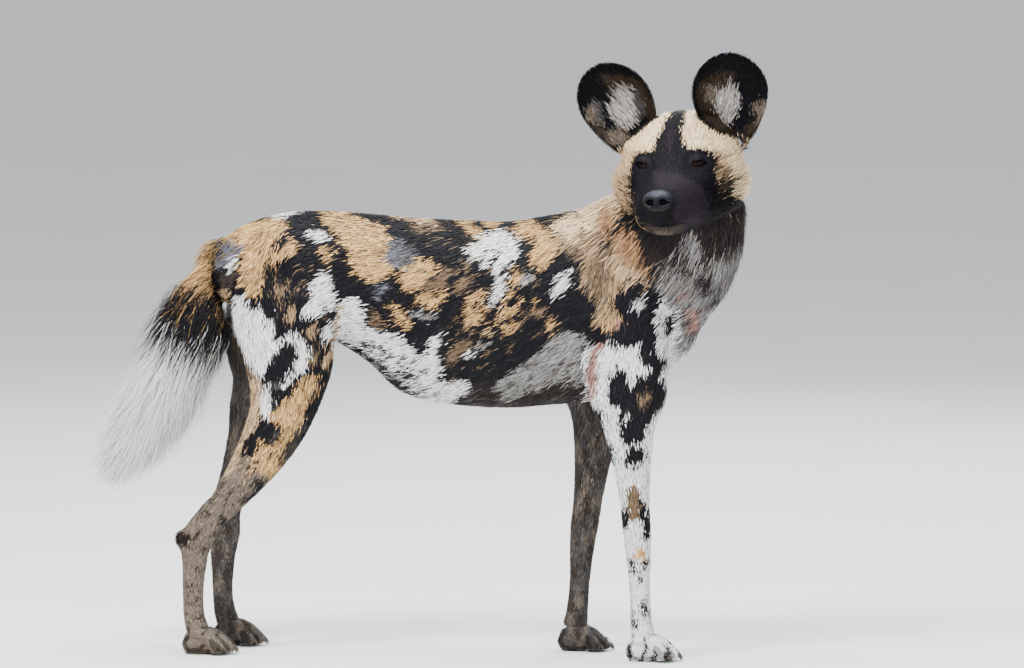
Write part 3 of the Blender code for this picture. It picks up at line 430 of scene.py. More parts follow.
def shape_face(points):
    """Head points moved for brows, eye hollows, cheek bones, whisker pads, jowls and the grooves."""
    p = points.copy()
    for sign in SIDES.values():
        brow = bump(points, (0.034, sign * 0.040, 0.018), (0.024, 0.026, 0.014))
        hollow = bump(points, (0.060, sign * 0.036, -0.008), (0.024, 0.020, 0.018))
        jowl = bump(points, (0.100, sign * 0.034, -0.072), (0.040, 0.020, 0.018))
        cheek = bump(points, (0.040, sign * 0.060, -0.045), (0.030, 0.030, 0.026))
        bone = bump(points, (0.038, sign * 0.066, -0.016), (0.022, 0.020, 0.012))
        pad = bump(points, (0.116, sign * 0.032, -0.060), (0.020, 0.018, 0.016))
        temple = bump(points, (0.010, sign * 0.060, 0.034), (0.026, 0.022, 0.018))
        tear = bump(points, (0.050, sign * 0.026, -0.006), (0.012, 0.009, 0.012))
        p[..., 0] += 0.0065 * brow - 0.0035 * hollow - 0.002 * tear
        p[..., 1] += sign * (0.002 * brow - 0.005 * hollow + 0.0025 * jowl - 0.002 * cheek)
        p[..., 1] += sign * (0.0016 * bone + 0.0016 * pad - 0.0022 * temple - 0.001 * tear)
        p[..., 2] += 0.003 * brow - 0.002 * jowl
    forehead = bump(points, (0.045, 0.0, 0.018), (0.030, 0.009, 0.030))
    bridge = bump(points, (0.085, 0.0, -0.012), (0.036, 0.008, 0.012))
    p[..., 2] += 0.0006 * bridge - 0.003 * forehead
    return p


def skull_rings():
    """Rings square to the head's line, wider in their lower half, shaped into a face."""
    rows = smooth_rows(HEAD, 120)
    across, up = hoop(112, SKULL_ROUNDNESS)
    u, top, bottom, half, level = (column[:, None] for column in rows.T)
    w = level + np.where(up > 0, (top - level) * up, (level - bottom) * up)
    return shape_face(points_of(u, half * across, w))


def eye_centre(side):
    """The middle of an eye, in the head's own frame."""
    return Vector((EYE_FORWARD - 0.0015, SIDES[side] * EYE_SIDE, 0.0))


def eye_gaze(side):
    """The way an eye looks: forward, a little outwards."""
    return Vector((0.86, SIDES[side] * 0.50, 0.05)).normalized()


def lid_rings(side, upper):
    """Rings round an arc over or under the eye, thickest in its middle, from corner to corner."""
    gaze = np.array(eye_gaze(side))
    out = unit(np.cross([0.0, 0.0, SIDES[side]], gaze))
    up = np.cross(gaze, out) * SIDES[side]
    up *= np.sign(up[2])
    t = np.linspace(-1.0, 1.0, 28)[:, None]
    bow = np.cos(t * math.pi / 2.0)
    sweep = math.radians(60.0) * t
    rise = math.radians(27.0 if upper else -32.0) * bow**0.8
    ray = gaze * np.cos(sweep) * np.cos(rise) + out * np.sin(sweep) * np.cos(rise) + up * np.sin(rise)
    thick = (UPPER_LID_THICKNESS if upper else LOWER_LID_THICKNESS) * (0.55 + 0.45 * bow)
    centre = np.array(eye_centre(side)) + ray * (EYE_RADIUS + 0.35 * thick)
    beside = up * np.cos(rise) - gaze * np.sin(rise)
    a = np.linspace(0.0, 2.0 * math.pi, 14, endpoint=False)[None, :, None]
    return centre[:, None] + ray[:, None] * (thick[:, None] * np.cos(a)) + beside[:, None] * (
        1.25 * thick[:, None] * np.sin(a))


def ball(radii, centre, along, rows=32, columns=48):
    """A closed ball with its pole turned to along: sine and cosine of two angles, scaled by radii."""
    a = np.linspace(0.04, math.pi - 0.04, rows)[:, None]
    b = np.linspace(0.0, 2.0 * math.pi, columns, endpoint=False)[None, :]
    ray = points_of(np.sin(a) * np.cos(b), np.sin(a) * np.sin(b), np.cos(a))
    turn = Vector(along).to_track_quat("Z", "Y").to_matrix().to_4x4()
    return tube(moved(ray * np.array(radii), Matrix.Translation(centre) @ turn))


def mouth_depth(points):
    """How near each head point is to the line of the lips: one on it, nothing 3 mm away."""
    t = np.linspace(-1.0, 1.0, 161)
    line = np.stack([0.137 - 0.077 * abs(t) ** 1.9, np.sign(t) * 0.052 * abs(t) ** 0.62,
                     -0.0775 + 0.0055 * abs(t) ** 2.5], -1)
    level = np.interp(abs(points[:, 1]), abs(line[80:, 1]), line[80:, 2])
    front = np.interp(abs(points[:, 1]), abs(line[80:, 1]), line[80:, 0])
    ahead = 1.0 / (1.0 + np.exp(-(points[:, 0] - front + 0.012) / 0.003))
    within = 1.0 / (1.0 + np.exp((abs(points[:, 1]) - 0.036) / 0.0015))
    return np.exp(-((points[:, 2] - level) / 0.0016) ** 2) * ahead * within


def read_rows(rows, field):
    """Three numbers of each of a mesh's rows, as an array."""
    flat = np.empty(len(rows) * 3, np.float32)
    rows.foreach_get(field, flat)
    return flat.reshape(-1, 3).astype(float)


def write_points(obj, points):
    """The object's mesh with its points moved to the given ones."""
    obj.data.vertices.foreach_set("co", np.ascontiguousarray(points, np.float32).ravel())
    obj.data.update()


to_world = head_matrix()
lids = [tube(lid_rings(side, upper)) for side in SIDES for upper in (True, False)]
head = fused("head", [tube(skull_rings())] + lids, HEAD_VOXEL, 3)
head_points = read_rows(head.data.vertices, "co")
lip_depth = LIP_GROOVE * mouth_depth(head_points)[:, None]
write_points(head, head_points - lip_depth * read_rows(head.data.vertex_normals, "vector"))
sockets, openings = [], []
for side in SIDES:
    centre, gaze = eye_centre(side), eye_gaze(side)
    sockets.append(mesh_piece("socket", *ball([EYE_RADIUS + SOCKET_GAP] * 3, centre, gaze)))
    front = centre + gaze * (EYE_RADIUS + 0.0005)
    openings.append(mesh_piece("opening", *ball(LID_OPENING, front, gaze)))
joined(head, sockets + openings, "DIFFERENCE")
head.data.transform(to_world)

# Ears
# Two big round ears like upright cups, each a sheet of gristle that is thin at its rim. Each is
# a bent sheet with a wall whose thickness falls towards the rim, rooted in the side of the skull.
EAR_HEIGHT = 0.126
EAR_WIDTH = 0.114
EAR_DEPTH = 0.030
EAR_WALL = 0.0036
EAR_WIDEST = 0.56
EAR_BASE = (-0.030, 0.056, 0.030)
EAR_TILT = {"right": math.radians(31.5), "left": math.radians(15.5)}
EAR_TURN = {"right": math.radians(4.0), "left": math.radians(14.0)}


def ear_grid(side, rows, columns):
    """The middle sheet of the ear: edges rise to the widest level, then close over a half circle.

    Across is the sine and depth the cosine of an angle that wraps less towards the top, so the
    root is a funnel and the top is an open cup. The outer edge is fuller and hangs lower.
    """
    below = rows // 2
    turn = np.linspace(0.0, math.radians(84.0), rows - below)
    t = np.concatenate([np.linspace(0.0, EAR_WIDEST, below, endpoint=False),
                        EAR_WIDEST + (1.0 - EAR_WIDEST) * np.sin(turn)])[:, None]
    crown = np.concatenate([np.ones(below), np.cos(turn)])[:, None]
    s = np.linspace(-1.0, 1.0, columns)[None, :]
    outer = 0.5 + 0.5 * np.tanh(3.0 * s)
    root = 0.44 + 0.22 * outer
    climb = np.sin(np.clip(t / EAR_WIDEST, 0.0, 1.0) * math.pi / 2.0) ** (1.25 - 0.45 * outer)
    half = EAR_WIDTH / 2.0 * (root + (1.0 - root) * climb) * crown * (0.88 + 0.19 * outer)
    wrap = np.radians(124.0 - 58.0 * t**0.7)
    angle = s * wrap
    across = half * np.sin(angle) / np.sin(np.minimum(wrap, math.pi / 2.0))
    depth = EAR_DEPTH * (1.0 - 0.70 * t) * (np.cos(angle) - np.cos(wrap)) / (1.0 - np.cos(wrap))
    depth = depth * crown**0.5
    height = EAR_HEIGHT * t - 0.022 * np.clip(s, 0.0, 1.0) ** 2 * (1.0 - t) ** 2
    return points_of(0.016 * t**2 - depth, SIDES[side] * across, height)


def ear_matrix(side):
    """From the ear's own frame to the world: leaned outwards and turned, at its place on the head."""
    sign = SIDES[side]
    turn = Matrix.Rotation(sign * EAR_TURN[side], 4, "Z")
    tilt = Matrix.Rotation(-sign * EAR_TILT[side], 4, "X")
    base = Matrix.Translation((EAR_BASE[0], sign * EAR_BASE[1], EAR_BASE[2]))
    return to_world @ base @ tilt @ turn


def walled(grid, wall):
    """A closed shell on both sides of a sheet: points moved half the wall along the sheet's normals."""
    rows, columns = grid.shape[:2]
    normal = unit(np.cross(np.gradient(grid, axis=0), np.gradient(grid, axis=1)), 1e-12)
    half = normal * wall[..., None] / 2.0
    points = np.concatenate([(grid + half).reshape(-1, 3), (grid - half).reshape(-1, 3)])
    number = np.arange(rows * columns).reshape(rows, columns)
    a, b, c, d = number[:-1, :-1], number[:-1, 1:], number[1:, 1:], number[1:, :-1]
    front = np.stack([a, b, c, d], -1).reshape(-1, 4)
    rim = np.concatenate([number[0, :-1], number[:-1, -1], number[-1, :0:-1], number[:0:-1, 0]])
    after = np.roll(rim, -1)
    back = rows * columns
    edge = np.stack([after, rim, rim + back, after + back], -1)
    quads = np.concatenate([front, front[:, ::-1] + back, edge])
    faces = np.concatenate([quads[:, [0, 1, 2]], quads[:, [0, 2, 3]]])
    return points, outward(points, faces)


def ear_piece(side):
    """One ear in place, its wall full at the root and the middle and a third of that at the rim."""
    rows, columns = 56, 44
    t, s = np.meshgrid(np.linspace(0.0, 1.0, rows), np.linspace(-1.0, 1.0, columns), indexing="ij")
    edge = np.minimum(1.0 - abs(s), (1.0 - t) * 1.6)
    wall = EAR_WALL * (0.40 + 0.60 * np.clip(edge / 0.22, 0.0, 1.0) ** 0.5)
    points, faces = walled(ear_grid(side, rows, columns), wall)
    return mesh_piece("ear", moved(points, ear_matrix(side)), faces)


# Skin
# One skin over head, neck, trunk, tail, legs and ears, without a seam. The fused pieces are joined,
# and then eased over bone and muscle and drawn in by the depth of the coat that grows on it.
skin = joined(body, [head] + [ear_piece(side) for side in SIDES] + paws)
skin.data.transform(Matrix.Translation(Vector(SHIFT)))
skin.modifiers.new("triangles", "TRIANGULATE")
settled(skin)
skin_faces = np.empty(len(skin.data.loops), np.int32)
skin.data.loops.foreach_get("vertex_index", skin_faces)
skin_faces = skin_faces.reshape(-1, 3)
skin_points = read_rows(skin.data.vertices, "co")
skin_points[:, 2] = np.maximum(skin_points[:, 2], 0.0)
write_points(skin, skin_points)
skin_normals = read_rows(skin.data.vertex_normals, "vector")


def line_of(rows, count=28):
    """Points and radii at even steps along a part, from where its hair starts to where it ends."""
    return smooth_rows(np.asarray(rows, float), count) + np.concatenate([SHIFT, [0.0]])


def trunk_line():
    """The trunk's middle from chest to rump; the radius is the mean of its half height and width."""
    x, top, bottom, half = TRUNK[::-1].T
    reach = (top - bottom) / 2.0
    radius = np.sqrt(reach * half)
    return line_of(np.stack([x, np.full(len(x), MIDLINE_Y), (top + bottom) / 2.0, radius], -1))


def neck_line():
    """The neck's middle from the skull down into the shoulders."""
    rows = NECK[::-1]
    middle = (rows[:, 0:2] + rows[:, 2:4]) / 2.0
    reach = np.linalg.norm(rows[:, 0:2] - rows[:, 2:4], axis=1) / 2.0
    radius = np.sqrt(reach * rows[:, 4])
    return line_of(np.stack([middle[:, 0], MIDLINE_Y + rows[:, 5], middle[:, 1], radius], -1))


def head_line():
    """The head's middle from the nose to the back of the skull."""
    u, top, bottom, half, _ = HEAD.T
    middle = moved(np.stack([u, 0.0 * u, (top + bottom) / 2.0], -1), to_world)
    return line_of(np.column_stack([middle, np.sqrt((top - bottom) / 2.0 * half)]))


def ear_line(side):
    """A line up the middle of an ear's cup, from above its root to its top."""
    rise = np.linspace(0.24, 0.90, 6)[:, None] * EAR_HEIGHT
    middle = moved(np.concatenate([0.0 * rise - 0.006, 0.0 * rise, rise], -1), ear_matrix(side))
    return line_of(np.column_stack([middle, np.full(len(middle), 0.046)]))


def leg_line(side, kind):
    """A leg's middle from its top to the ankle, and forward through the foot to the toes."""
    rows = foreleg_rows(side)[1:] if kind == "fore" else hindleg_rows(side)
    line = np.column_stack([rows[:, :3], np.sqrt(rows[:, 3] * rows[:, 4])])
    x, y = line[-1, :2]
    foot = np.array([(x + 0.020, y, 0.020, 0.020), (x + 0.050, y, 0.012, 0.020)])
    return line_of(np.concatenate([line, foot]), 44)


def tail_line():
    """The tail's middle from its root to its tip."""
    x, z, core = TAIL.T
    return line_of(np.stack([x, np.full(len(x), MIDLINE_Y), z, 0.85 * core + 0.004], -1))


TRUNK_PART, NECK_PART, HEAD_PART, EAR_RIGHT, EAR_LEFT = range(5)
FORE_RIGHT, FORE_LEFT, HIND_RIGHT, HIND_LEFT, TAIL_PART = range(5, 10)
part_lines = [
    trunk_line(), neck_line(), head_line(), ear_line("right"), ear_line("left"),
    leg_line("right", "fore"), leg_line("left", "fore"),
    leg_line("right", "hind"), leg_line("left", "hind"), tail_line(),
]


def near_parts(points):
    """For each point and part: how many radii off the part's line it is, and where along the line."""
    count, parts = len(points), len(part_lines)
    radii_off, along = np.empty((count, parts)), np.empty((count, parts))
    for k, line in enumerate(part_lines):
        away = np.full(count, np.inf)
        for j, row in enumerate(line):
            off = np.linalg.norm(points - row[:3], axis=1) / row[3]
            closer = off < away
            away[closer] = off[closer]
            along[closer, k] = j / (len(line) - 1.0)
        radii_off[:, k] = away
    return radii_off, along


def line_rows(along, k):
    """The row of part k's line at each point's place along it."""
    return np.rint(along[:, k] * (len(part_lines[k]) - 1)).astype(int)


def ramp(values, start, width):
    """Nothing up to start, one from start plus width on, and an even rise between them."""
    return np.clip((values - start) / width, 0.0, 1.0)


PART_SHARPNESS = 9.0
radii_off, along = near_parts(skin_points)
part = radii_off.argmin(1)
share = np.exp(-PART_SHARPNESS * (radii_off - radii_off.min(1)[:, None]))
share /= share.sum(1)[:, None]
edges = np.concatenate([skin_faces[:, [0, 1]], skin_faces[:, [1, 2]], skin_faces[:, [2, 0]]])


def eased(values, rounds):
    """Values at the skin's points, each moved some times towards the mean of its neighbours."""
    columns = values.reshape(len(values), -1)
    count = np.bincount(edges.ravel(), minlength=len(columns))[:, None] + 1e-9
    for _ in range(rounds):
        total = np.stack([
            np.bincount(edges[:, 0], c[edges[:, 1]], len(columns))
            + np.bincount(edges[:, 1], c[edges[:, 0]], len(columns))
            for c in columns.T
        ], -1)
        columns = 0.3 * columns + 0.7 * total / count
    return columns.reshape(values.shape)


share = eased(share, 3)
share /= share.sum(1)[:, None]
COAT_DEPTH = np.array([
    0.0040, 0.0055, 0.0011, 0.0008, 0.0008, 0.0018, 0.0018, 0.0020, 0.0020, 0.0005])
paw_share = ramp(-skin_points[:, 2], -0.060, 0.030)
depth = (share * COAT_DEPTH).sum(1) * (1.0 - 0.55 * paw_share)


# Soft mounds and hollows at shoulder, elbow, hip, stifle and hock, on both sides of the animal:
# x, z, how long, how high and how far the flesh stands up or in.
MUSCLES = (
    (0.262, 0.520, 0.050, 0.070, 0.0040), (0.215, 0.470, 0.030, 0.050, -0.0030),
    (0.300, 0.420, 0.034, 0.036, 0.0030), (0.268, 0.385, 0.022, 0.020, 0.0025),
    (-0.215, 0.560, 0.055, 0.060, 0.0035), (-0.170, 0.440, 0.030, 0.040, 0.0030),
    (-0.120, 0.500, 0.030, 0.060, -0.0040), (-0.255, 0.440, 0.026, 0.060, 0.0030),
    (0.120, 0.480, 0.120, 0.070, 0.0020), (0.000, 0.470, 0.080, 0.060, -0.0020),
    (-0.330, 0.235, 0.012, 0.040, -0.0025), (0.330, 0.480, 0.030, 0.040, 0.0020),
)
MUSCLE_FROM_MIDLINE = 0.03


def mound(u, v, centre, half):
    """One at centre, falling to nothing by the square of how many halves away a place is."""
    return np.exp(-(((u - centre[0]) / half[0]) ** 2 + ((v - centre[1]) / half[1]) ** 2))


def muscle(points):
    """How far flesh stands up or in at each point, with fine ribs on the barrel."""
    rise = np.zeros(len(points))
    off_midline = abs(points[:, 1] - MIDLINE_Y) > MUSCLE_FROM_MIDLINE
    for x, z, long, high, amount in MUSCLES:
        rise += amount * mound(points[:, 0], points[:, 2], (x, z), (long, high))
    ribs = 0.0006 * np.sin((points[:, 0] - 0.25 * points[:, 2]) * 2.0 * math.pi / 0.034)
    barrel = mound(points[:, 0], points[:, 2], (0.10, 0.49), (0.11, 0.08))
    return off_midline * (rise + ribs * barrel)


LEG_PARTS = (FORE_RIGHT, FORE_LEFT, HIND_RIGHT, HIND_LEFT)
inset = muscle(skin_points) * share[:, [TRUNK_PART, *LEG_PARTS]].sum(1)
inset = np.minimum(inset, 0.8 * depth)
floor_share = ramp(skin_points[:, 2], 0.0, 0.004)
skin_points += skin_normals * ((inset - depth) * floor_share)[:, None]
write_points(skin, skin_points)
skin_normals = read_rows(skin.data.vertex_normals, "vector")

# Markings
# The irregular patches of black, tan, cream and white that each animal has in its own pattern. Their
# edges are named outlines, met along the line of sight of the photograph and broken by noise.
CAMERA_AZIMUTH = math.radians(8.0)
CAMERA_ELEVATION = math.radians(4.5)
CAMERA_DISTANCE = 12.8
CAMERA_AIM = np.array([0.117, MIDLINE_Y, 0.483]) + SHIFT
LENS = 300.0
SENSOR = 36.0
PHOTO_WIDTH, PHOTO_HEIGHT = 1024, 668
toward_camera = np.array([
    math.sin(CAMERA_AZIMUTH) * math.cos(CAMERA_ELEVATION),
    -math.cos(CAMERA_AZIMUTH) * math.cos(CAMERA_ELEVATION),
    math.sin(CAMERA_ELEVATION),
])
camera_place = CAMERA_AIM + CAMERA_DISTANCE * toward_camera


def in_photo(points):
    """Where points fall in the photograph: right and down in its pixels, by the pinhole rule."""
    right = np.array([math.cos(CAMERA_AZIMUTH), math.sin(CAMERA_AZIMUTH), 0.0])
    up = np.cross(toward_camera, right)
    ray = points - camera_place
    scale = LENS / SENSOR * PHOTO_WIDTH / -(ray @ toward_camera)
    across, down = scale * (ray @ right), scale * (ray @ up)
    return np.stack([PHOTO_WIDTH / 2 + across, PHOTO_HEIGHT / 2 - down], -1)


COLOURS = {
    "black": (0.0028, 0.0026, 0.0046), "tan": (0.52, 0.305, 0.120), "orange": (0.33, 0.175, 0.080),
    "cream": (0.70, 0.510, 0.300), "white": (0.80, 0.79, 0.79), "grey": (0.105, 0.105, 0.125),
    "brown": (0.0125, 0.0078, 0.0072), "grey_brown": (0.150, 0.118, 0.088),
    "red": (0.30, 0.155, 0.130), "mask": (0.0026, 0.0022, 0.0040), "fleck": (0.135, 0.088, 0.050),
    "pale": (0.85, 0.82, 0.78), "dusk": (0.030, 0.022, 0.017), "sand": (0.44, 0.295, 0.165),
    "ash": (0.21, 0.200, 0.190), "plum_and_sheen": (0.0125, 0.0080, 0.0125), "honey": (0.29, 0.190, 0.100),
    "umber": (0.027, 0.0175, 0.0110), "drab": (0.115, 0.090, 0.068), "haze": (0.33, 0.305, 0.285),
    "smoke": (0.055, 0.050, 0.047),
}
# Each mark is its colour and an outline as x, y pairs, or the box of an oval spot as x, x, y, y. The
# marks of the hindquarters come first, then flank and back, belly, mane, shoulder, foreleg and neck.
BODY_MARKS = [
    ("tan", (198, 262, 212, 244, 224, 232, 240, 226, 262, 220, 286, 218, 288, 228, 284, 238,
        272, 246, 270, 256, 266, 270, 264, 284, 258, 294, 254, 300, 248, 296, 244, 286, 240, 284,
        238, 268, 242, 256, 240, 246, 232, 240, 220, 246, 214, 262, 205, 300, 190, 300)),
    ("black", (216, 238, 228, 230, 243, 225, 239, 232, 228, 237)),
    ("white", (272, 216, 284, 207, 304, 207, 298, 214, 282, 218)),
    ("grey", (220, 246, 232, 243, 244, 247, 243, 254, 236, 260, 228, 266, 218, 268, 216, 262,
        224, 254)),
    ("pale", (225, 267, 234, 260, 239, 262, 231, 269)),
    ("dusk", (220, 272, 231, 269, 238, 262, 236, 276, 230, 286, 222, 284)),
    ("sand", (219, 286, 230, 288, 230, 302, 222, 300)),
    ("tan", (270, 260, 281, 250, 290, 242, 299, 245, 297, 254, 284, 258, 274, 263)),
    ("tan", (319, 249, 326, 246, 335, 254, 338, 265, 330, 267, 324, 258)),
    ("white", (307, 236, 314, 228, 324, 231, 329, 239, 320, 242, 312, 240)),
    ("fleck", (271, 293, 281, 283, 289, 280, 281, 296, 274, 299)),
    ("fleck", (289, 297, 298, 286, 307, 284, 300, 293)),
    ("honey", (286, 316, 289, 306, 295, 308, 296, 317, 290, 323, 285, 320)),
    ("white", (309, 286, 315, 276, 324, 270, 333, 274, 333, 288, 337, 298, 335, 308, 328, 312,
        320, 309, 319, 319, 310, 319, 302, 317, 304, 309, 312, 300, 311, 290)),
    ("honey", (306, 329, 310, 324, 317, 325, 315, 333, 310, 336)),
    ("white", (320, 330, 328, 325, 333, 321, 329, 343, 322, 341)), ("black", (319, 330, 308, 327)),
    ("fleck", (322, 327, 313, 321)), ("fleck", (310, 352, 320, 348, 318, 362, 309, 366)),
    ("fleck", (312, 320, 340, 346)),
    ("white", (334, 334, 339, 306, 346, 296, 352, 299, 359, 303, 363, 318, 368, 326, 362, 331,
        350, 333, 344, 342, 334, 356)),
    ("sand", (324, 366, 329, 346, 335, 326, 341, 303, 344, 306, 338, 330, 333, 350, 329, 366)),
    ("black", (333, 262, 341, 256, 347, 276, 346, 296, 340, 308, 336, 298, 335, 280)),
    ("white", (240, 293, 246, 304, 252, 311, 256, 310, 260, 302, 263, 312, 266, 326, 270, 321,
        275, 317, 274, 330, 273, 341, 276, 345, 284, 341, 290, 336, 298, 333, 304, 343, 308, 353,
        309, 365, 306, 372, 296, 376, 290, 383, 286, 390, 284, 383, 276, 385, 272, 389, 271, 397,
        270, 408, 269, 421, 264, 423, 260, 412, 260, 392, 262, 380, 254, 370, 246, 358, 240, 342,
        232, 330, 225, 322, 229, 315, 236, 308, 237, 298)),
    ("black", (293, 341, 298, 347, 296, 360, 291, 371, 283, 381, 274, 388, 267, 390, 262, 385,
        267, 370, 272, 358, 281, 347)),
    ("fleck", (226, 324, 233, 331, 240, 343, 247, 359, 255, 371, 262, 381, 261, 392, 255, 402,
        246, 396, 240, 380, 234, 360, 228, 344)),
    ("sand", (249, 380, 262, 383, 260, 411, 254, 429, 244, 442, 236, 462, 226, 478, 220, 476,
        236, 446, 246, 420, 250, 400)),
    ("tan", (299, 380, 312, 375, 321, 378, 319, 390, 310, 400, 301, 410, 307, 416, 301, 431,
        290, 442, 284, 431, 276, 425, 269, 418, 276, 408, 288, 400, 296, 390)),
    ("tan", (274, 431, 301, 427, 296, 447, 281, 467, 263, 489, 249, 505, 237, 521, 227, 541,
        210, 541, 216, 520, 232, 490, 246, 470, 256, 451, 262, 437)),
    ("grey_brown", (254, 470, 268, 476, 250, 504, 232, 530, 222, 545, 170, 560, 168, 535, 186, 520,
        206, 505, 226, 492)),
    ("black", (257, 423, 270, 419, 283, 428, 281, 441, 268, 447, 259, 439)),
    ("black", (309, 405, 318, 391, 321, 402, 315, 419, 306, 425, 303, 418)),
    ("black", (248, 499, 256, 484, 268, 478, 266, 490, 254, 503)),
    ("dusk", (284, 446, 298, 426, 304, 424, 296, 450, 280, 470)), ("black", (222, 230, 516, 530)),
    ("brown", (172, 188, 532, 548)),
    ("tan", (324, 212, 346, 212, 362, 221, 384, 228, 391, 240, 388, 254, 397, 264, 390, 272,
        378, 284, 366, 281, 354, 273, 350, 262, 346, 248, 338, 236, 328, 228, 320, 218)),
    ("grey", (387, 244, 404, 240, 412, 248, 418, 258, 410, 267, 400, 271, 391, 263, 386, 254)),
    ("tan", (399, 271, 412, 264, 426, 257, 439, 265, 437, 277, 424, 287, 408, 293, 399, 285)),
    ("fleck", (429, 277, 446, 267, 457, 269, 447, 285, 428, 291, 420, 293)),
    ("tan", (413, 296, 428, 292, 449, 293, 445, 303, 430, 309, 416, 303)),
    ("fleck", (451, 293, 461, 276, 470, 271, 469, 284, 456, 299)),
    ("fleck", (460, 264, 470, 258, 474, 262, 464, 270)),
    ("grey", (375, 293, 381, 285, 389, 285, 381, 296, 379, 305, 375, 300)),
    ("tan", (389, 304, 398, 302, 409, 314, 415, 327, 408, 331, 397, 320)),
    ("fleck", (369, 308, 376, 311, 385, 324, 382, 329, 373, 321)),
    ("ash", (411, 314, 420, 312, 428, 316, 439, 311, 437, 316, 426, 321, 416, 318)),
    ("sand", (386, 214, 410, 215, 430, 221, 441, 226, 424, 225, 402, 220)),
    ("fleck", (408, 226, 440, 227, 451, 231, 420, 233)),
    ("tan", (457, 218, 466, 221, 477, 229, 483, 236, 474, 237, 463, 227)),
    ("tan", (483, 222, 494, 220, 501, 224, 490, 227)),
    ("tan", (516, 226, 530, 222, 542, 226, 530, 229)),
    ("tan", (466, 301, 475, 289, 487, 290, 485, 306, 483, 322, 470, 327, 463, 322, 468, 310)),
    ("fleck", (459, 330, 472, 327, 477, 332, 462, 336)),
    ("sand", (479, 331, 490, 327, 495, 334, 482, 337)),
    ("pale", (465, 252, 470, 246, 480, 238, 484, 233, 500, 231, 508, 233, 515, 242, 519, 250,
        517, 259, 508, 269, 506, 281, 503, 291, 501, 301, 492, 305, 488, 300, 496, 288, 496, 276,
        492, 268, 484, 264, 474, 262)),
    ("tan", (511, 231, 530, 228, 545, 229, 553, 236, 559, 246, 558, 257, 548, 267, 540, 269,
        532, 262, 532, 248, 536, 240, 522, 238, 512, 235)),
    ("tan", (509, 279, 514, 267, 521, 269, 521, 281, 514, 291, 507, 287)),
    ("ash", (521, 276, 528, 271, 536, 275, 533, 283, 526, 289, 520, 283)),
    ("white", (555, 283, 562, 273, 569, 271, 571, 280, 564, 291, 556, 299, 551, 293)),
    ("tan", (507, 292, 516, 289, 521, 300, 517, 312, 506, 323, 496, 327, 489, 323, 500, 312,
        505, 304)),
    ("tan", (527, 301, 534, 297, 535, 305, 528, 311)),
    ("fleck", (519, 323, 531, 311, 549, 305, 541, 317, 528, 321)),
    ("tan", (501, 335, 506, 325, 516, 323, 523, 326, 514, 333, 506, 338)),
    ("tan", (545, 323, 554, 317, 557, 324, 550, 331)),
    ("white", (342, 336, 346, 326, 366, 325, 378, 329, 390, 334, 402, 337, 410, 343, 418, 351,
        427, 357, 428, 347, 431, 337, 436, 334, 442, 337, 439, 352, 440, 372, 444, 381, 462, 378,
        472, 383, 462, 399, 450, 403, 430, 402, 418, 393, 408, 385, 398, 377, 384, 367, 370, 357,
        360, 347, 348, 341)),
    ("black", (340, 341, 352, 342, 372, 354, 388, 365, 402, 380, 418, 399, 404, 396, 384, 380,
        366, 366, 350, 352)),
    ("brown", (386, 380, 402, 384, 424, 400, 420, 408, 396, 396)),
    ("dusk", (356, 338, 376, 344, 398, 358, 392, 358, 370, 348)),
    ("dusk", (392, 362, 412, 372, 428, 390, 420, 386, 402, 372)),
    ("ash", (546, 340, 556, 335, 566, 332, 590, 336, 586, 345, 583, 352, 585, 380, 587, 390,
        578, 389, 566, 387, 552, 387, 546, 391, 536, 397, 526, 393, 516, 401, 506, 403, 500, 397,
        490, 390, 494, 386, 503, 380, 508, 373, 516, 367, 528, 361, 534, 356, 540, 350)),
    ("white", (463, 353, 473, 349, 475, 356, 466, 361)),
    ("ash", (474, 345, 484, 342, 487, 346, 478, 349)),
    ("fleck", (449, 354, 457, 343, 470, 339, 473, 343, 462, 351, 457, 362, 450, 366)),
    ("brown", (458, 398, 468, 387, 484, 383, 494, 387, 502, 394, 508, 400, 520, 397, 528, 389,
        536, 392, 548, 385, 562, 381, 580, 385, 592, 388, 592, 416, 458, 418)),
    ("sand", (550, 226, 556, 220, 580, 214, 590, 207, 600, 200, 630, 200, 632, 208, 622, 214,
        616, 221, 614, 236, 620, 246, 640, 262, 650, 276, 653, 289, 646, 293, 640, 284, 628, 280,
        620, 284, 612, 296, 610, 306, 618, 311, 623, 318, 619, 327, 608, 331, 604, 322, 596, 325,
        593, 314, 596, 304, 590, 292, 581, 287, 581, 270, 584, 262, 576, 258, 564, 250, 557, 240,
        562, 231)),
    ("cream", (552, 228, 566, 218, 590, 208, 600, 204, 598, 222, 584, 236, 570, 240)),
    ("honey", (582, 262, 600, 250, 612, 268, 620, 282, 610, 296, 610, 306, 620, 314, 606, 330,
        594, 318, 596, 302, 584, 288)),
    ("fleck", (563, 246, 580, 243, 585, 259, 574, 259)),
    ("fleck", (590, 262, 604, 252, 612, 272, 606, 292, 598, 306, 592, 292)),
    ("orange", (601, 212, 608, 204, 613, 212, 615, 226, 609, 241, 602, 233, 599, 220)),
    ("brown", (600, 233, 608, 237, 613, 250, 611, 264, 605, 253, 601, 244)),
    ("orange", (615, 238, 624, 230, 635, 240, 643, 256, 651, 273, 647, 280, 636, 269, 626, 263,
        617, 251)),
    ("brown", (631, 226, 640, 232, 648, 246, 658, 264, 662, 286, 659, 301, 652, 299, 650, 276,
        642, 261, 636, 244)),
    ("white", (582, 352, 590, 341, 604, 341, 620, 349, 634, 345, 643, 340, 650, 350, 657, 336,
        654, 316, 660, 299, 676, 294, 700, 298, 722, 308, 702, 338, 691, 354, 681, 372, 669, 402,
        661, 422, 654, 442, 652, 472, 600, 472, 595, 431, 589, 411, 585, 391, 582, 370)),
    ("ash", (658, 260, 672, 265, 690, 275, 704, 289, 717, 297, 713, 311, 701, 321, 695, 341,
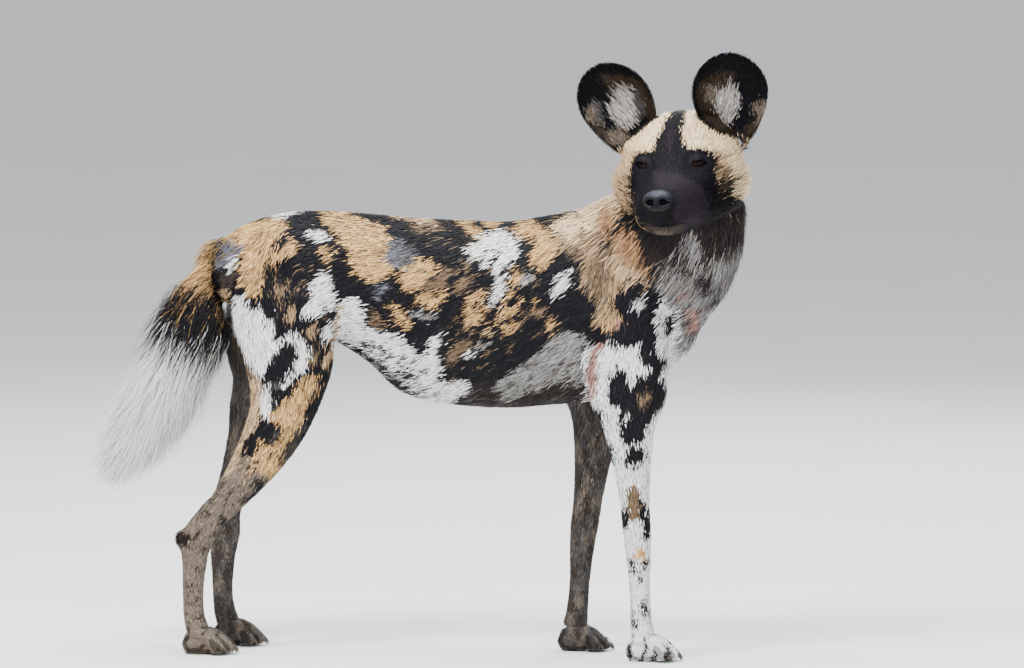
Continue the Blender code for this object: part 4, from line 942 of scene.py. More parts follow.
        685, 357, 676, 353, 680, 331, 676, 312, 666, 297, 659, 285)),
    ("red", (669, 285, 678, 287, 688, 296, 683, 301, 673, 293)),
    ("red", (689, 308, 701, 309, 699, 325, 692, 338, 687, 331)),
    ("red", (586, 373, 591, 351, 598, 341, 607, 345, 599, 357, 597, 377, 597, 398, 590, 400)),
    ("black", (590, 337, 604, 326, 614, 332, 622, 318, 612, 306, 612, 296, 622, 284, 634, 281,
        644, 288, 654, 290, 659, 302, 655, 314, 657, 336, 650, 351, 642, 344, 634, 346, 622, 350,
        606, 343, 594, 344)),
    ("tan", (600, 310, 610, 303, 620, 314, 622, 324, 614, 333, 603, 330)),
    ("red", (606, 330, 616, 322, 625, 320, 618, 330)),
    ("white", (633, 303, 639, 300, 644, 304, 643, 310, 637, 311)), ("black", (663, 674, 315, 337)),
    ("black", (637, 361, 640, 344, 644, 333, 653, 337, 657, 352, 653, 363, 646, 365)),
    ("black", (648, 369, 654, 358, 662, 353, 667, 360, 663, 371, 654, 376)),
    ("black", (612, 374, 619, 365, 627, 372, 631, 386, 637, 381, 648, 376, 660, 373, 667, 386,
        665, 400, 655, 412, 648, 424, 643, 443, 631, 448, 620, 440, 619, 410, 612, 404, 608, 390)),
    ("fleck", (635, 401, 646, 391, 651, 398, 640, 409)),
    ("white", (624, 414, 630, 410, 629, 424, 624, 426)),
    ("black", (598, 446, 604, 438, 613, 442, 616, 460, 610, 470, 600, 464)),
    ("black", (624, 646, 448, 466)),
    ("black", (640, 498, 648, 508, 652, 530, 648, 542, 642, 540, 639, 518)),
    ("black", (599, 612, 440, 468)), ("dusk", (602, 612, 470, 500)),
    ("fleck", (628, 640, 486, 520)),
    ("brown", (571, 404, 588, 400, 600, 410, 604, 428, 598, 438, 584, 436, 573, 424)),
    ("black", (618, 630, 508, 530)), ("tan", (634, 646, 548, 580)), ("black", (622, 634, 566, 592)),
    ("dusk", (636, 648, 592, 622)), ("fleck", (614, 624, 540, 562)),
    ("brown", (649, 226, 692, 230, 742, 194, 748, 240, 738, 268, 720, 290, 704, 286, 690, 276,
        672, 266, 656, 260)),
    ("ash", (682, 241, 692, 234, 701, 249, 705, 263, 700, 270, 692, 262, 686, 254)),
    ("ash", (703, 262, 722, 256, 738, 250, 740, 268, 722, 296, 712, 284)),
]
# Areas broken by streaks: how rare the streaks are, whether they lie over dark or light hair, their
# colour, and the area's outline.
STREAKED_AREAS = [
    (0.60, "dark", "fleck", (452, 262, 500, 262, 560, 296, 560, 336, 520, 344, 470, 340, 440, 330,
        446, 300)),
    (0.72, "dark", "fleck", (268, 250, 300, 240, 320, 262, 306, 330, 276, 330, 266, 290)),
    (0.50, "dark", "smoke", (262, 384, 320, 374, 312, 430, 270, 440)),
    (0.66, "dark", "fleck", (444, 336, 520, 334, 512, 360, 470, 384, 446, 376)),
    (0.80, "dark", "fleck", (392, 222, 470, 222, 470, 250, 420, 256)),
    (0.35, "dark", "ash", (340, 341, 352, 340, 392, 366, 420, 396, 424, 406, 396, 402, 366, 378)),
    (0.55, "dark", "smoke", (420, 392, 500, 388, 560, 388, 592, 393, 592, 418, 458, 418, 420, 410)),
    # The smoke streaks in the white under the belly are broken hair and painted shade.
    (0.55, "light", "smoke", (350, 330, 400, 340, 440, 378, 452, 400, 420, 404, 380, 374)),
    (0.62, "light", "fleck", (206, 240, 262, 220, 290, 220, 270, 300, 240, 300, 200, 270)),
    (0.66, "light", "fleck", (322, 212, 362, 214, 392, 240, 440, 256, 440, 290, 380, 290,
        340, 262)),
    (0.48, "light", "smoke", (480, 384, 520, 340, 590, 332, 592, 392, 520, 404)),
    (0.34, "light", "black", (440, 262, 480, 240, 560, 290, 560, 336, 500, 344, 440, 336)),
    (0.62, "light", "black", (384, 262, 440, 254, 452, 300, 400, 330, 384, 300)),
    (0.42, "light", "drab", (581, 270, 600, 250, 622, 280, 612, 296, 622, 316, 606, 331, 592, 322)),
    (0.58, "light", "fleck", (555, 225, 632, 200, 640, 262, 600, 268, 570, 256)),
    (0.46, "dark", "ash", (660, 246, 684, 240, 712, 262, 706, 276, 684, 268, 664, 262)),
    (0.80, "dark", "drab", (712, 226, 750, 204, 748, 262, 728, 276, 706, 262)),
    (0.25, "light", "smoke", (656, 258, 690, 268, 740, 256, 722, 308, 690, 345, 664, 300)),
    (0.30, "light", "smoke", (387, 238, 420, 238, 420, 272, 386, 272)),
    (0.45, "light", "dusk", (226, 478, 300, 440, 290, 500, 160, 570)),
    (0.55, "light", "dusk", (160, 500, 250, 470, 260, 656, 160, 656)),
    (0.62, "light", "dusk", (282, 376, 322, 374, 312, 430, 250, 500, 240, 490)),
]


def noise(x, y, seed):
    """Smooth noise near minus one to one: sines of both ways, each bent by the other."""
    a = np.sin(1.00 * x + 1.7 * np.sin(0.63 * y + seed) + 2.1 * seed)
    b = np.sin(0.91 * y + 1.5 * np.sin(0.71 * x + 1.3 * seed) + 0.7 * seed)
    return (a + b + 0.5 * np.sin(2.3 * x - 1.9 * y + seed)) / 2.5


def inside(pixels, shape):
    """Whether pixels lie in an outline, by counting its sides crossed, or in a rounded oval spot."""
    x, y = pixels.T
    if len(shape) == 4:
        cx, rx = (shape[0] + shape[1]) / 2.0, abs(shape[1] - shape[0]) / 2.0
        cy, ry = (shape[2] + shape[3]) / 2.0, abs(shape[3] - shape[2]) / 2.0
        return abs((x - cx) / rx) ** 2.4 + abs((y - cy) / ry) ** 2.4 < 1.0
    xs, ys = np.array(shape[0::2], float), np.array(shape[1::2], float)
    hit = np.zeros(len(x), bool)
    box = (x > xs.min()) & (x < xs.max()) & (y > ys.min()) & (y < ys.max())
    px, py = x[box], y[box]
    odd = np.zeros(len(px), bool)
    for x0, y0, x1, y1 in zip(xs, ys, np.roll(xs, -1), np.roll(ys, -1)):
        crosses = (y0 > py) != (y1 > py)
        odd ^= crosses & (px < (x1 - x0) * (py - y0) / (y1 - y0 + 1e-12) + x0)
    hit[box] = odd
    return hit


def marked(colour, pixels, marks):
    """Colours with each mark laid over the ones before it."""
    for name, shape in marks:
        colour[inside(pixels, shape)] = COLOURS[name]
    return colour


def broken(pixels, amount, seed):
    """Pixels moved by coarse and fine noise, so that the outlines met there are ragged."""
    x, y = pixels.T / 9.0
    fine = 0.4 * noise(9.0 * x, 9.0 * y, seed)
    return pixels + amount * np.stack([
        noise(x, y, each) + 0.7 * noise(3.1 * x, 3.1 * y, each + 1.0) + fine
        for each in (seed, seed + 2.0)
    ], -1)


FACE_MARKS = [
    ("cream", (728, 150, 750, 150, 762, 182, 758, 204, 740, 204, 726, 190)),
    ("mask", (674, 107, 684, 107, 685, 122, 683, 132, 686, 144, 692, 152, 676, 162, 664, 162,
        650, 154, 655, 144, 659, 132, 665, 122, 670, 114)),
    ("mask", (633, 160, 637, 154, 643, 151, 652, 152, 659, 155, 668, 156, 680, 153, 690, 149,
        702, 148, 712, 152, 720, 160, 716, 171, 718, 180, 722, 188, 728, 194, 741, 196, 748, 212,
        742, 230, 700, 252, 650, 252, 645, 232, 636, 222, 630, 211, 630, 200, 629, 187, 630, 170)),
    # The plum patch on the muzzle's top is its purple tone with painted sheen from above.
    ("plum_and_sheen", (652, 168, 662, 172, 674, 174, 690, 180, 704, 190, 710, 204, 706, 220, 692, 229,
        678, 229, 674, 214, 678, 198, 670, 188, 656, 186)),
    ("plum_and_sheen", (668, 130, 674, 128, 672, 150, 666, 154)),
    ("fleck", (718, 166, 727, 165, 728, 193, 721, 189)), ("dusk", (721, 734, 172, 192)),
    ("brown", (724, 208, 744, 205, 752, 214, 742, 242, 716, 252, 700, 252)),
    ("dusk", (644, 222, 656, 226, 672, 227, 684, 223, 684, 232, 672, 236, 654, 235, 644, 230)),
    ("drab", (652, 230, 658, 231, 663, 230, 668, 232, 674, 230, 673, 233, 666, 234, 660, 235,
        654, 233)),
    ("dusk", (736, 132, 748, 134, 748, 150, 740, 150)),
]
EAR_MARKS = [
    ("umber", (600, 72, 616, 74, 640, 80, 656, 102, 662, 116, 650, 122, 644, 112, 636, 126,
        622, 130, 612, 92, 606, 82)),
    ("drab", (582, 108, 596, 106, 602, 120, 600, 132, 590, 126)), ("smoke", (594, 604, 100, 124)),
    # The black strip in the right ear's cup is painted shade deep in the cup.
    ("black", (600, 90, 611, 86, 612, 128, 603, 132)),
    ("drab", (601, 132, 614, 127, 628, 130, 630, 147, 610, 144)),
    ("dusk", (594, 122, 606, 130, 604, 142, 592, 132)),
    ("haze", (609, 111, 612, 100, 616, 91, 623, 84, 631, 88, 636, 98, 638, 110, 636, 122, 628, 128,
        621, 125, 614, 118)),
    ("smoke", (630, 90, 638, 92, 646, 104, 645, 120, 638, 124, 635, 108)),
    ("umber", (693, 98, 697, 84, 708, 76, 722, 72, 738, 74, 730, 84, 718, 92, 714, 108, 722, 120,
        712, 124, 698, 116)),
    ("drab", (704, 716, 82, 104)),
    ("umber", (702, 114, 716, 112, 734, 126, 738, 138, 724, 134, 708, 124)),
    ("haze", (713, 96, 720, 86, 730, 84, 738, 92, 737, 106, 734, 120, 730, 127, 722, 117,
        715, 107)),
    ("black", (737, 86, 750, 96, 752, 132, 742, 144, 735, 130, 739, 108)),
    ("drab", (753, 105, 768, 101, 768, 122, 757, 128)), ("umber", (746, 762, 122, 144)),
    ("dusk", (734, 130, 750, 138, 750, 154, 738, 152)),
]


HAIR_SLANT = math.radians(35.0)


def streaked(colour, pixels, seed):
    """Streaks of dark in light hair and light in dark, drawn out along the slant of the hair.

    A streak is where noise, stretched three times along the slant, passes the limit of its area.
    """
    s, c = math.sin(HAIR_SLANT), math.cos(HAIR_SLANT)
    along_hair = pixels[:, 1] * s - pixels[:, 0] * c
    across_hair = pixels[:, 0] * s + pixels[:, 1] * c
    streak = noise(along_hair / 5.0, across_hair / 1.9, seed)
    dark = colour.sum(1) < 0.1
    light = (colour[:, 0] > 0.3) & (colour[:, 2] < 0.4 * colour[:, 0])
    colour[light & (streak < -0.66)] *= 0.5
    for limit, over, name, area in STREAKED_AREAS:
        over_it = dark if over == "dark" else ~dark
        colour[over_it & (streak > limit) & inside(pixels, area)] = COLOURS[name]
    return colour


def gap_to_eyes(in_head):
    """How far points in the head's own frame are from the middle of the nearer eye."""
    gaps = [np.linalg.norm(in_head - np.array(eye_centre(side)), axis=1) for side in SIDES]
    return np.min(gaps, axis=0)


def chosen_of(where, over, under):
    """Rows of over where it holds, and of under elsewhere; a name stands for its colour."""
    over, under = (COLOURS[each] if isinstance(each, str) else each for each in (over, under))
    return np.where(where[:, None], over, under)


FAR_FORWARD, FAR_DOWN, FOOT_OUT = 0.018, 0.008, 0.060
FORELEG_WHITE_BELOW, HINDLEG_GREY_BELOW = 0.45, 0.30
SPECKLED_BELOW, TOE_SHADE_BELOW, SCRUFF_ABOVE = 0.155, 0.042, 0.60
INNER_SIDE_BELOW = {FORE_RIGHT: 0.36, FORE_LEFT: 0.40, HIND_RIGHT: 0.44, HIND_LEFT: 0.46}
TAIL_TAN_ABOVE, TAIL_WHITE_BELOW, TAIL_MIDDLE_X = 0.510, 0.430, -0.357
EYE_RIM = 0.0062
NAPE_BEFORE_PIXEL, NAPE_ABOVE_PIXEL = 622, 206
FOREHEAD_ABOVE_PIXEL, EAR_BLACK_ABOVE_PIXEL = 150, 128


def painted(points, normals, part, along, seed, raggedness, stray=0.0):
    """The colour of the coat at each point, as red, green and blue.

    What faces the camera takes the marks of the photograph. The far flank takes them mirrored over
    the middle of its part and shifted, and what the photograph hides takes plain rules. Stray is how
    far each point's own colour is looked up from its place, in pixels.
    """
    places = points.copy()
    middles = np.array([line[line_rows(along, k), :3] for k, line in enumerate(part_lines)])
    middle = middles[part, np.arange(len(points))]
    ears, head = np.isin(part, (EAR_RIGHT, EAR_LEFT)), part == HEAD_PART
    far = (points[:, 1] > middle[:, 1] + 0.004) & ~head & ~ears
    places[far, 1] = 2.0 * middle[far, 1] - points[far, 1]
    for left, right in ((FORE_LEFT, FORE_RIGHT), (HIND_LEFT, HIND_RIGHT)):
        move = (part_lines[right] - part_lines[left])[line_rows(along, left), :3]
        places = np.where((far & (part == left))[:, None], places + move, places)
    shift = 0.010 * noise(points[:, 0] * 14.0, points[:, 2] * 14.0, 5.0)
    places[far, 0] += FAR_FORWARD + shift[far]
    places[far, 2] -= FAR_DOWN + shift[far]
    seen = in_photo(points) + stray
    pixels = broken(in_photo(places) + stray, raggedness, seed)
    height, forelegs = points[:, 2], np.isin(part, (FORE_RIGHT, FORE_LEFT))
    colour = np.tile(COLOURS["black"], (len(points), 1))
    colour[forelegs & (height < FORELEG_WHITE_BELOW)] = COLOURS["white"]
    hindlegs = np.isin(part, (HIND_RIGHT, HIND_LEFT))
    colour[hindlegs & (height < HINDLEG_GREY_BELOW)] = COLOURS["grey_brown"]
    colour = streaked(marked(colour, pixels, BODY_MARKS), pixels, seed)
    neck = part == NECK_PART
    colour[neck & (pixels < (NAPE_BEFORE_PIXEL, NAPE_ABOVE_PIXEL)).all(1)] = COLOURS["cream"]
    grain = noise(pixels[:, 0] / 2.2, pixels[:, 1] / 7.0, seed + 4.0)
    scruff = neck & (normals[:, 1] > 0.25) & (normals[:, 0] < 0.75) & (height > SCRUFF_ABOVE)
    colour = chosen_of(scruff, chosen_of(grain > 0.35, "honey", "sand"), colour)
    speckled = chosen_of(grain > 0.30, "dusk", "white")
    colour = chosen_of(forelegs & (height < SPECKLED_BELOW), speckled, colour)
    hidden = chosen_of(grain > 0.15, "dusk", chosen_of(grain < -0.45, "drab", "smoke"))
    inward = {FORE_RIGHT: points[:, 1] > middle[:, 1] + 0.006, FORE_LEFT: ~far, HIND_RIGHT: far,
              HIND_LEFT: ~far}
    for leg, below in INNER_SIDE_BELOW.items():
        colour = chosen_of((part == leg) & inward[leg] & (height < below), hidden, colour)
    # Hair in the gaps between the toes is darkened to 0.35 of its colour: painted shade.
    toe = (points[:, 1] - np.where(part % 2, -FOOT_OUT, FOOT_OUT) - MIDLINE_Y) / (1.08 * TOE_SPACING)
    toe_gap_shade = np.isin(part, LEG_PARTS) & (height < TOE_SHADE_BELOW) & (abs(toe - np.rint(toe)) < 0.15)
    colour = chosen_of(toe_gap_shade, 0.35 * colour, colour)
    ragged = 0.012 * noise(points[:, 0] * 90.0, points[:, 1] * 90.0, 3.0)
    level = height + ragged + 0.0015 * grain
    level = level + 0.0015 * np.broadcast_to(stray, pixels.shape)[:, 1]
    slant = points[:, 0] - TAIL_MIDDLE_X
    tail_colour = chosen_of(level + 0.60 * slant > TAIL_TAN_ABOVE, "tan", "black")
    tail_colour = chosen_of(level + 0.45 * slant < TAIL_WHITE_BELOW, "pale", tail_colour)
    colour = chosen_of(part == TAIL_PART, tail_colour, colour)
    facing = normals @ toward_camera > 0.0
    face = chosen_of(pixels[:, 1] < FOREHEAD_ABOVE_PIXEL, "cream", "sand")
    face = marked(face, broken(seen, 0.45 * raggedness, seed), FACE_MARKS)
    low = pixels[:, 1] + 9.0 * noise(pixels[:, 0] / 8.0, pixels[:, 1] / 8.0, seed)
    nape = chosen_of(low < NAPE_ABOVE_PIXEL, "sand", "brown")
    colour = chosen_of(head, chosen_of(facing, face, nape), colour)
    eye_gap = gap_to_eyes(moved(points - SHIFT, to_world.inverted()))
    colour[head & (eye_gap < EYE_RADIUS + EYE_RIM)] = COLOURS["mask"]
    cup = np.tile(COLOURS["black"], (len(points), 1)) * 0.6
    cup = marked(cup, broken(seen, 1.1 * raggedness, seed), EAR_MARKS)
    outer_ear = chosen_of(pixels[:, 1] < EAR_BLACK_ABOVE_PIXEL, "black", "dusk")
    return chosen_of(ears, chosen_of(facing, cup, outer_ear), colour)


skin_colour = painted(skin_points, skin_normals, part, along, 1.0, 2.4)


def add_colour(obj, colour, alpha=1.0):
    """A colour for each point of a mesh, with one number more beside it."""
    values = np.column_stack([colour, np.broadcast_to(alpha, len(colour))]).astype(np.float32)
    layer = obj.data.color_attributes.new("Marking", "FLOAT_COLOR", "POINT")
    layer.data.foreach_set("color", values.ravel())


add_colour(skin, skin_colour)


def material(name, roughness, specular):
    """A new node material, with its node tree, and its shader with what is the same all over."""
    made = bpy.data.materials.new(name)
    made.use_nodes = True
    tree = made.node_tree
    shader = tree.nodes["Principled BSDF"]
    shader.inputs["Roughness"].default_value = roughness
    shader.inputs["Specular IOR Level"].default_value = specular
    return made, tree, shader


def node(tree, kind, settings=None, **inputs):
    """A node of the tree with its settings, and its inputs given as values or linked from sockets.

    An input is called by its name, or by i and its number where names repeat.
    """
    made = tree.nodes.new("ShaderNode" + kind)
    for name, value in (settings or {}).items():
        setattr(made, name, value)
    for name, value in inputs.items():
        by_number = name[0] == "i" and name[1:].isdigit()
        socket = made.inputs[int(name[1:]) if by_number else name]
        if isinstance(value, bpy.types.NodeSocket):
            tree.links.new(value, socket)
        else:
            socket.default_value = value
    return made


def product(tree, first, second):
    """The product of two numbers, as a socket."""
    return node(tree, "Math", {"operation": "MULTIPLY"}, i0=first, i1=second).outputs[0]


def scaled(tree, colour, by):
    """A colour times a number, as a socket."""
    return node(tree, "VectorMath", {"operation": "SCALE"}, i0=colour, Scale=by).outputs["Vector"]


def effect(name, **kinds):
    """A node group that puts out a colour and a height, with what it is given and what it puts out."""
    group = bpy.data.node_groups.new(name, "ShaderNodeTree")
    for label, kind in kinds.items():
        group.interface.new_socket(label, in_out="INPUT", socket_type="NodeSocket" + kind)
    group.interface.new_socket("Color", in_out="OUTPUT", socket_type="NodeSocketColor")
    group.interface.new_socket("Height", in_out="OUTPUT", socket_type="NodeSocketFloat")
    return group, group.nodes.new("NodeGroupInput").outputs, group.nodes.new("NodeGroupOutput").inputs


def skin_material():
    """Short close hair on hide: the markings, mottled finely, over a bump of fine drawn-out hairs."""
    made, tree, shader = material("skin_coat", 0.66, 0.14)
    place = node(tree, "TexCoord").outputs["Object"]
    marking = node(tree, "VertexColor", {"layer_name": "Marking"}).outputs["Color"]
    mottle = node(tree, "TexNoise", Vector=place, Scale=420.0, Detail=3.0, Roughness=0.6).outputs["Fac"]
    shade = node(tree, "MapRange", i0=mottle, i1=0.3, i2=0.7, i3=0.55, i4=1.12).outputs["Result"]
    tree.links.new(scaled(tree, marking, shade), shader.inputs["Base Color"])
    hairs = node(tree, "TexNoise", Vector=place, Scale=900.0, Detail=2.0).outputs["Fac"]
    rough = node(tree, "Bump", Height=hairs, Strength=0.5, Distance=0.0008).outputs["Normal"]
    tree.links.new(rough, shader.inputs["Normal"])
    return made


skin.data.materials.clear()
skin.data.materials.append(skin_material())
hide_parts(*[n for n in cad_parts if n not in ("nose", "eye_right", "eye_left")])
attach(skin, "root")

# Coat
# Guard hair in flat, tapered tufts that lie along the body, longest on the tail and the neck and
# shortest on the muzzle and the feet. Each tuft is a thin closed spindle rooted in the skin.
NOSE_CENTRE = np.array([0.1345, 0.0, -0.0415])
NOSE_BARE_HALF = np.array([0.0175, 0.0225, 0.0180])
EYE_BARE_RIM = 0.0030
DOWNWARD_PULL, TRUNK_SLANT, NECK_SLANT = 0.05, 0.50, 0.25
# Hair lengths in metres, with what is added or taken away at some places. Then the tufts' spacing
# and their lift off the skin, for each part in turn, and where more of them is added.
MUZZLE_HAIR, FACE_HAIR, CHEEK_MORE, EYELID_HAIR = 0.0038, 0.0085, 0.023, 0.0026
EAR_HAIR, EAR_TUFT_HAIR, EAR_ROOT_MORE = 0.0085, 0.020, 0.013
LEG_HAIR, THIGH_MORE, PAW_LESS = 0.0075, 0.0085, 0.0045
TRUNK_HAIR, BELLY_MORE, NECK_HAIR = 0.017, 0.008, 0.034
TAIL_HAIR, BRUSH_MORE, TAIL_TIP_LESS, TAIL_FRONT_MORE = 0.054, 0.040, 0.062, 0.024
PAW_CLOSER, MUZZLE_CLOSER = 0.0006, 0.0004
SPACING = (
    0.00250, 0.00205, 0.00182, 0.00165, 0.00165, 0.00235, 0.00235, 0.00240, 0.00240, 0.00145)
LIFT = np.radians([9.0, 16.0, 9.0, 14.0, 14.0, 8.0, 8.0, 8.0, 8.0, 34.0])
CHEEK_LIFT, EAR_ROOT_LIFT, TAIL_ROOT_LIFT, TAIL_FRONT_LIFT = 20.0, 16.0, 12.0, 22.0
TAIL_FRONT, TAIL_FRONT_REACH = (-0.318, MIDLINE_Y, 0.550), (0.030, 0.050, 0.032)


def laid_flat(ways, normals):
    """Ways with what they have along the normals taken off, so that they lie in the surface."""
    return ways - normals * (ways * normals).sum(1)[:, None]


steps = [np.gradient(line[:, :3], axis=0) for line in part_lines]
tangents = unit(np.stack([step[line_rows(along, k)] for k, step in enumerate(steps)], 1))
tangents[:, TRUNK_PART, 2] -= TRUNK_SLANT
tangents[:, NECK_PART, 2] -= NECK_SLANT
flow = (share[..., None] * tangents).sum(1)
flow += DOWNWARD_PULL * np.array([0.0, 0.0, -1.0])
flow = eased(laid_flat(flow, skin_normals), 6)
flow = unit(laid_flat(flow, skin_normals), 1e-9)
in_head = moved(skin_points - SHIFT, to_world.inverted())
muzzle = ramp(in_head[:, 0], 0.050, 0.030)
cheek = ramp(abs(in_head[:, 1]), 0.045, 0.030)
cheek *= np.clip(-in_head[:, 2] / 0.03, 0.2, 1.0)
head_length = FACE_HAIR + CHEEK_MORE * cheek
head_length = head_length * (1.0 - muzzle) + MUZZLE_HAIR * muzzle
by_ear = sum(
    bump(in_head, (-0.030, sign * 0.074, 0.026), (0.034, 0.026, 0.026)) for sign in SIDES.values())
head_length += EAR_ROOT_MORE * by_ear
eye_gap = gap_to_eyes(in_head)
by_eye = np.clip(1.0 - (eye_gap - EYE_RADIUS) / 0.012, 0.0, 1.0)
head_length = head_length * (1.0 - by_eye) + EYELID_HAIR * by_eye
skin_pixels = in_photo(skin_points)
skin_facing = skin_normals @ toward_camera > 0.0
ear_length = np.full(len(part), EAR_HAIR)
for name, shape in EAR_MARKS:
    if name == "haze":
        ear_length[inside(skin_pixels, shape) & skin_facing] = EAR_TUFT_HAIR
paw_share = ramp(-skin_points[:, 2], -0.055, 0.030)
leg_length = LEG_HAIR + THIGH_MORE * ramp(skin_points[:, 2], 0.12, 0.35) - PAW_LESS * paw_share
belly = ramp(-skin_points[:, 2], -0.43, 0.05)
tail_at = along[:, TAIL_PART]
tail_length = TAIL_HAIR + BRUSH_MORE * ramp(tail_at, 0.08, 0.26)
tail_length -= TAIL_TIP_LESS * ramp(tail_at, 0.68, 0.32)
length = (share * np.stack([
    TRUNK_HAIR + BELLY_MORE * belly, np.full(len(part), NECK_HAIR), head_length, ear_length, ear_length,
    leg_length, leg_length, leg_length, leg_length, tail_length,
], -1)).sum(1)
spacing = np.tile(SPACING, (len(part), 1))
spacing[:, LEG_PARTS] -= (PAW_CLOSER * paw_share)[:, None]
spacing[:, HEAD_PART] -= MUZZLE_CLOSER * muzzle
spacing = (share * spacing).sum(1)
lift = (share * LIFT).sum(1)
head_lift = CHEEK_LIFT * cheek * (1.0 - muzzle) + EAR_ROOT_LIFT * by_ear
lift += share[:, HEAD_PART] * np.radians(head_lift)
by_root = np.clip(1.0 - tail_at / 0.45, 0.0, 1.0)
lift += share[:, TAIL_PART] * np.radians(TAIL_ROOT_LIFT) * by_root
by_tail = bump(skin_points, TAIL_FRONT, TAIL_FRONT_REACH)
length += TAIL_FRONT_MORE * by_tail
lift += np.radians(TAIL_FRONT_LIFT) * by_tail
nose_gap = np.linalg.norm((in_head - NOSE_CENTRE) / NOSE_BARE_HALF, axis=1)
bare = (eye_gap < EYE_RADIUS + EYE_BARE_RIM) | (nose_gap < 1.0)
bare |= (mouth_depth(in_head) > 0.25) | ((skin_points[:, 2] < 0.003) & (skin_normals[:, 2] < -0.5))


def around(points, part, along):
    """Where each point lies round its part: turns about the part's line, and a finer place along it."""
    turn, place = np.zeros(len(points)), np.zeros(len(points))
    for k, line in enumerate(part_lines):
        chosen = np.flatnonzero(part == k)
        row = line_rows(along[chosen], k)
        step = steps[k][row]
        off = points[chosen] - line[row, :3]
        size = (step * step).sum(1)
        place[chosen] = (row + np.clip((off * step).sum(1) / size, -0.5, 0.5)) / (len(line) - 1.0)
        upright = abs(step[:, 2]) > 0.7 * np.sqrt(size)
        first = np.where(upright[:, None], [1.0, 0.0, 0.0], [0.0, 0.0, 1.0])
        first = first - step * ((first * step).sum(1) / size)[:, None]
        second = np.cross(step / np.sqrt(size)[:, None], first)
        angle = np.arctan2((off * second).sum(1), (off * first).sum(1))
        turn[chosen] = angle / (2.0 * math.pi) + 0.5
    return turn, place


FLOOR_GAP = 0.0004
RING_AT = 0.42
ROOT_SINK = 0.0011


def tuft_mesh(name, roots, normals, lies, lengths, widths, lifts, charts, colours, rng):
    """One closed spindle to each root: a sunk root, a flat ring of three and a tip bent back down.

    The ring's lift is more than the tip's, so the tuft curves over.
    """
    count = len(roots)
    across = np.cross(normals, lies)
    stray = rng.normal(0.0, 0.13, count)[:, None]
    lies = lies * np.cos(stray) + across * np.sin(stray)
    across = np.cross(normals, lies)
    high, low = lifts * rng.uniform(0.9, 1.9, count), lifts * rng.uniform(0.3, 1.0, count)
    size = lengths[:, None]
    middle = roots + RING_AT * size * (lies * np.cos(high)[:, None] + normals * np.sin(high)[:, None])
    tip = roots + size * (lies * np.cos(low)[:, None] + normals * np.sin(low)[:, None])
    tip += across * size * rng.normal(0.0, 0.07, count)[:, None]
    half = across * widths[:, None] / 2.0
    crest = normals * (0.22 * widths)[:, None]
    sunk = roots - ROOT_SINK * normals
    points = np.stack([sunk, middle - half, middle + half, middle + crest, tip], 1).reshape(-1, 3)
    points[:, 2] = np.maximum(points[:, 2], FLOOR_GAP)
    faces = np.array([(0, 2, 1), (0, 1, 3), (0, 3, 2), (4, 1, 2), (4, 3, 1), (4, 2, 3)])
    every = (faces[None] + 5 * np.arange(count)[:, None, None]).reshape(-1, 3)
    obj = mesh_piece(name, points, every)
    sides = [normals - 0.5 * across, normals + 0.5 * across]
    soft = np.stack([normals, *sides, normals, normals + 0.25 * lies], 1).reshape(-1, 3)
    obj.data.normals_split_custom_set_from_vertices(unit(soft))
    add_colour(obj, np.repeat(colours, 5, 0), np.tile([0.0, RING_AT, RING_AT, 0.5, 1.0], count))
    patch = np.array([(0.0, -0.0015), (-0.0015, -0.0002), (0.0015, -0.0002), (0.0, 0.0), (0.0, 0.0015)])
    flat = (charts[:, None, :] + patch[None]).reshape(-1, 2)
    uv = obj.data.uv_layers.new(name="OFBake")
    uv.data.foreach_set("uv", flat[every.ravel()].astype(np.float32).ravel())
    return obj


def hair_effect():
    """Tufts: markings with painted shade at the root, and fine streaks across each tuft's own patch."""
    group, given, out = effect(
        "hair_effect", Marking="Color", Along="Float", Patch="Vector", Streaks="Float", Tip="Float")
    along_tuft = product(group, given["Streaks"], 0.08)
    stretch = node(group, "CombineXYZ", X=given["Streaks"], Y=along_tuft, Z=1.0).outputs["Vector"]
    fine = node(group, "Mapping", Vector=given["Patch"], Scale=stretch).outputs["Vector"]
    streak = node(group, "TexNoise", Vector=fine, Scale=1.0, Detail=2.0).outputs["Fac"]
    # Painted shade between tufts: the marking is 0.42 of itself at the root, rising to the tip's light.
    deep = node(group, "MapRange", i0=given["Along"], i1=0.0, i2=0.75, i3=0.42, i4=given["Tip"]).outputs
    hair = node(group, "MapRange", i0=streak, i1=0.32, i2=0.68, i3=0.78, i4=1.14).outputs
    shade = product(group, deep["Result"], hair["Result"])
    group.links.new(scaled(group, given["Marking"], shade), out["Color"])
    group.links.new(streak, out["Height"])
    return group


hair_group = hair_effect()


def coat_material(name, streaks, tip_light, roughness, specular):
    """The hair effect over a smooth shader, with a bump from the same streaks."""
    made, tree, shader = material(name, roughness, specular)
    marking = node(tree, "VertexColor", {"layer_name": "Marking"}).outputs
    patch = node(tree, "UVMap", {"uv_map": "OFBake"}).outputs["UV"]
    hair = node(tree, "Group", {"node_tree": hair_group}, Marking=marking["Color"],
                Along=marking["Alpha"], Patch=patch, Streaks=streaks, Tip=tip_light).outputs
    tree.links.new(hair["Color"], shader.inputs["Base Color"])
    raised = node(tree, "Bump", Height=hair["Height"], Strength=0.35, Distance=0.0004)
    tree.links.new(raised.outputs["Normal"], shader.inputs["Normal"])
    return made


body_hair = coat_material("body_hair", 2600.0, 1.12, 0.56, 0.14)
face_hair = coat_material("face_hair", 2600.0, 1.10, 0.62, 0.07)
long_hair = coat_material("long_hair", 3600.0, 1.08, 0.50, 0.18)
ODD_HAIR = 0.07
MOST_LIGHT = 0.92


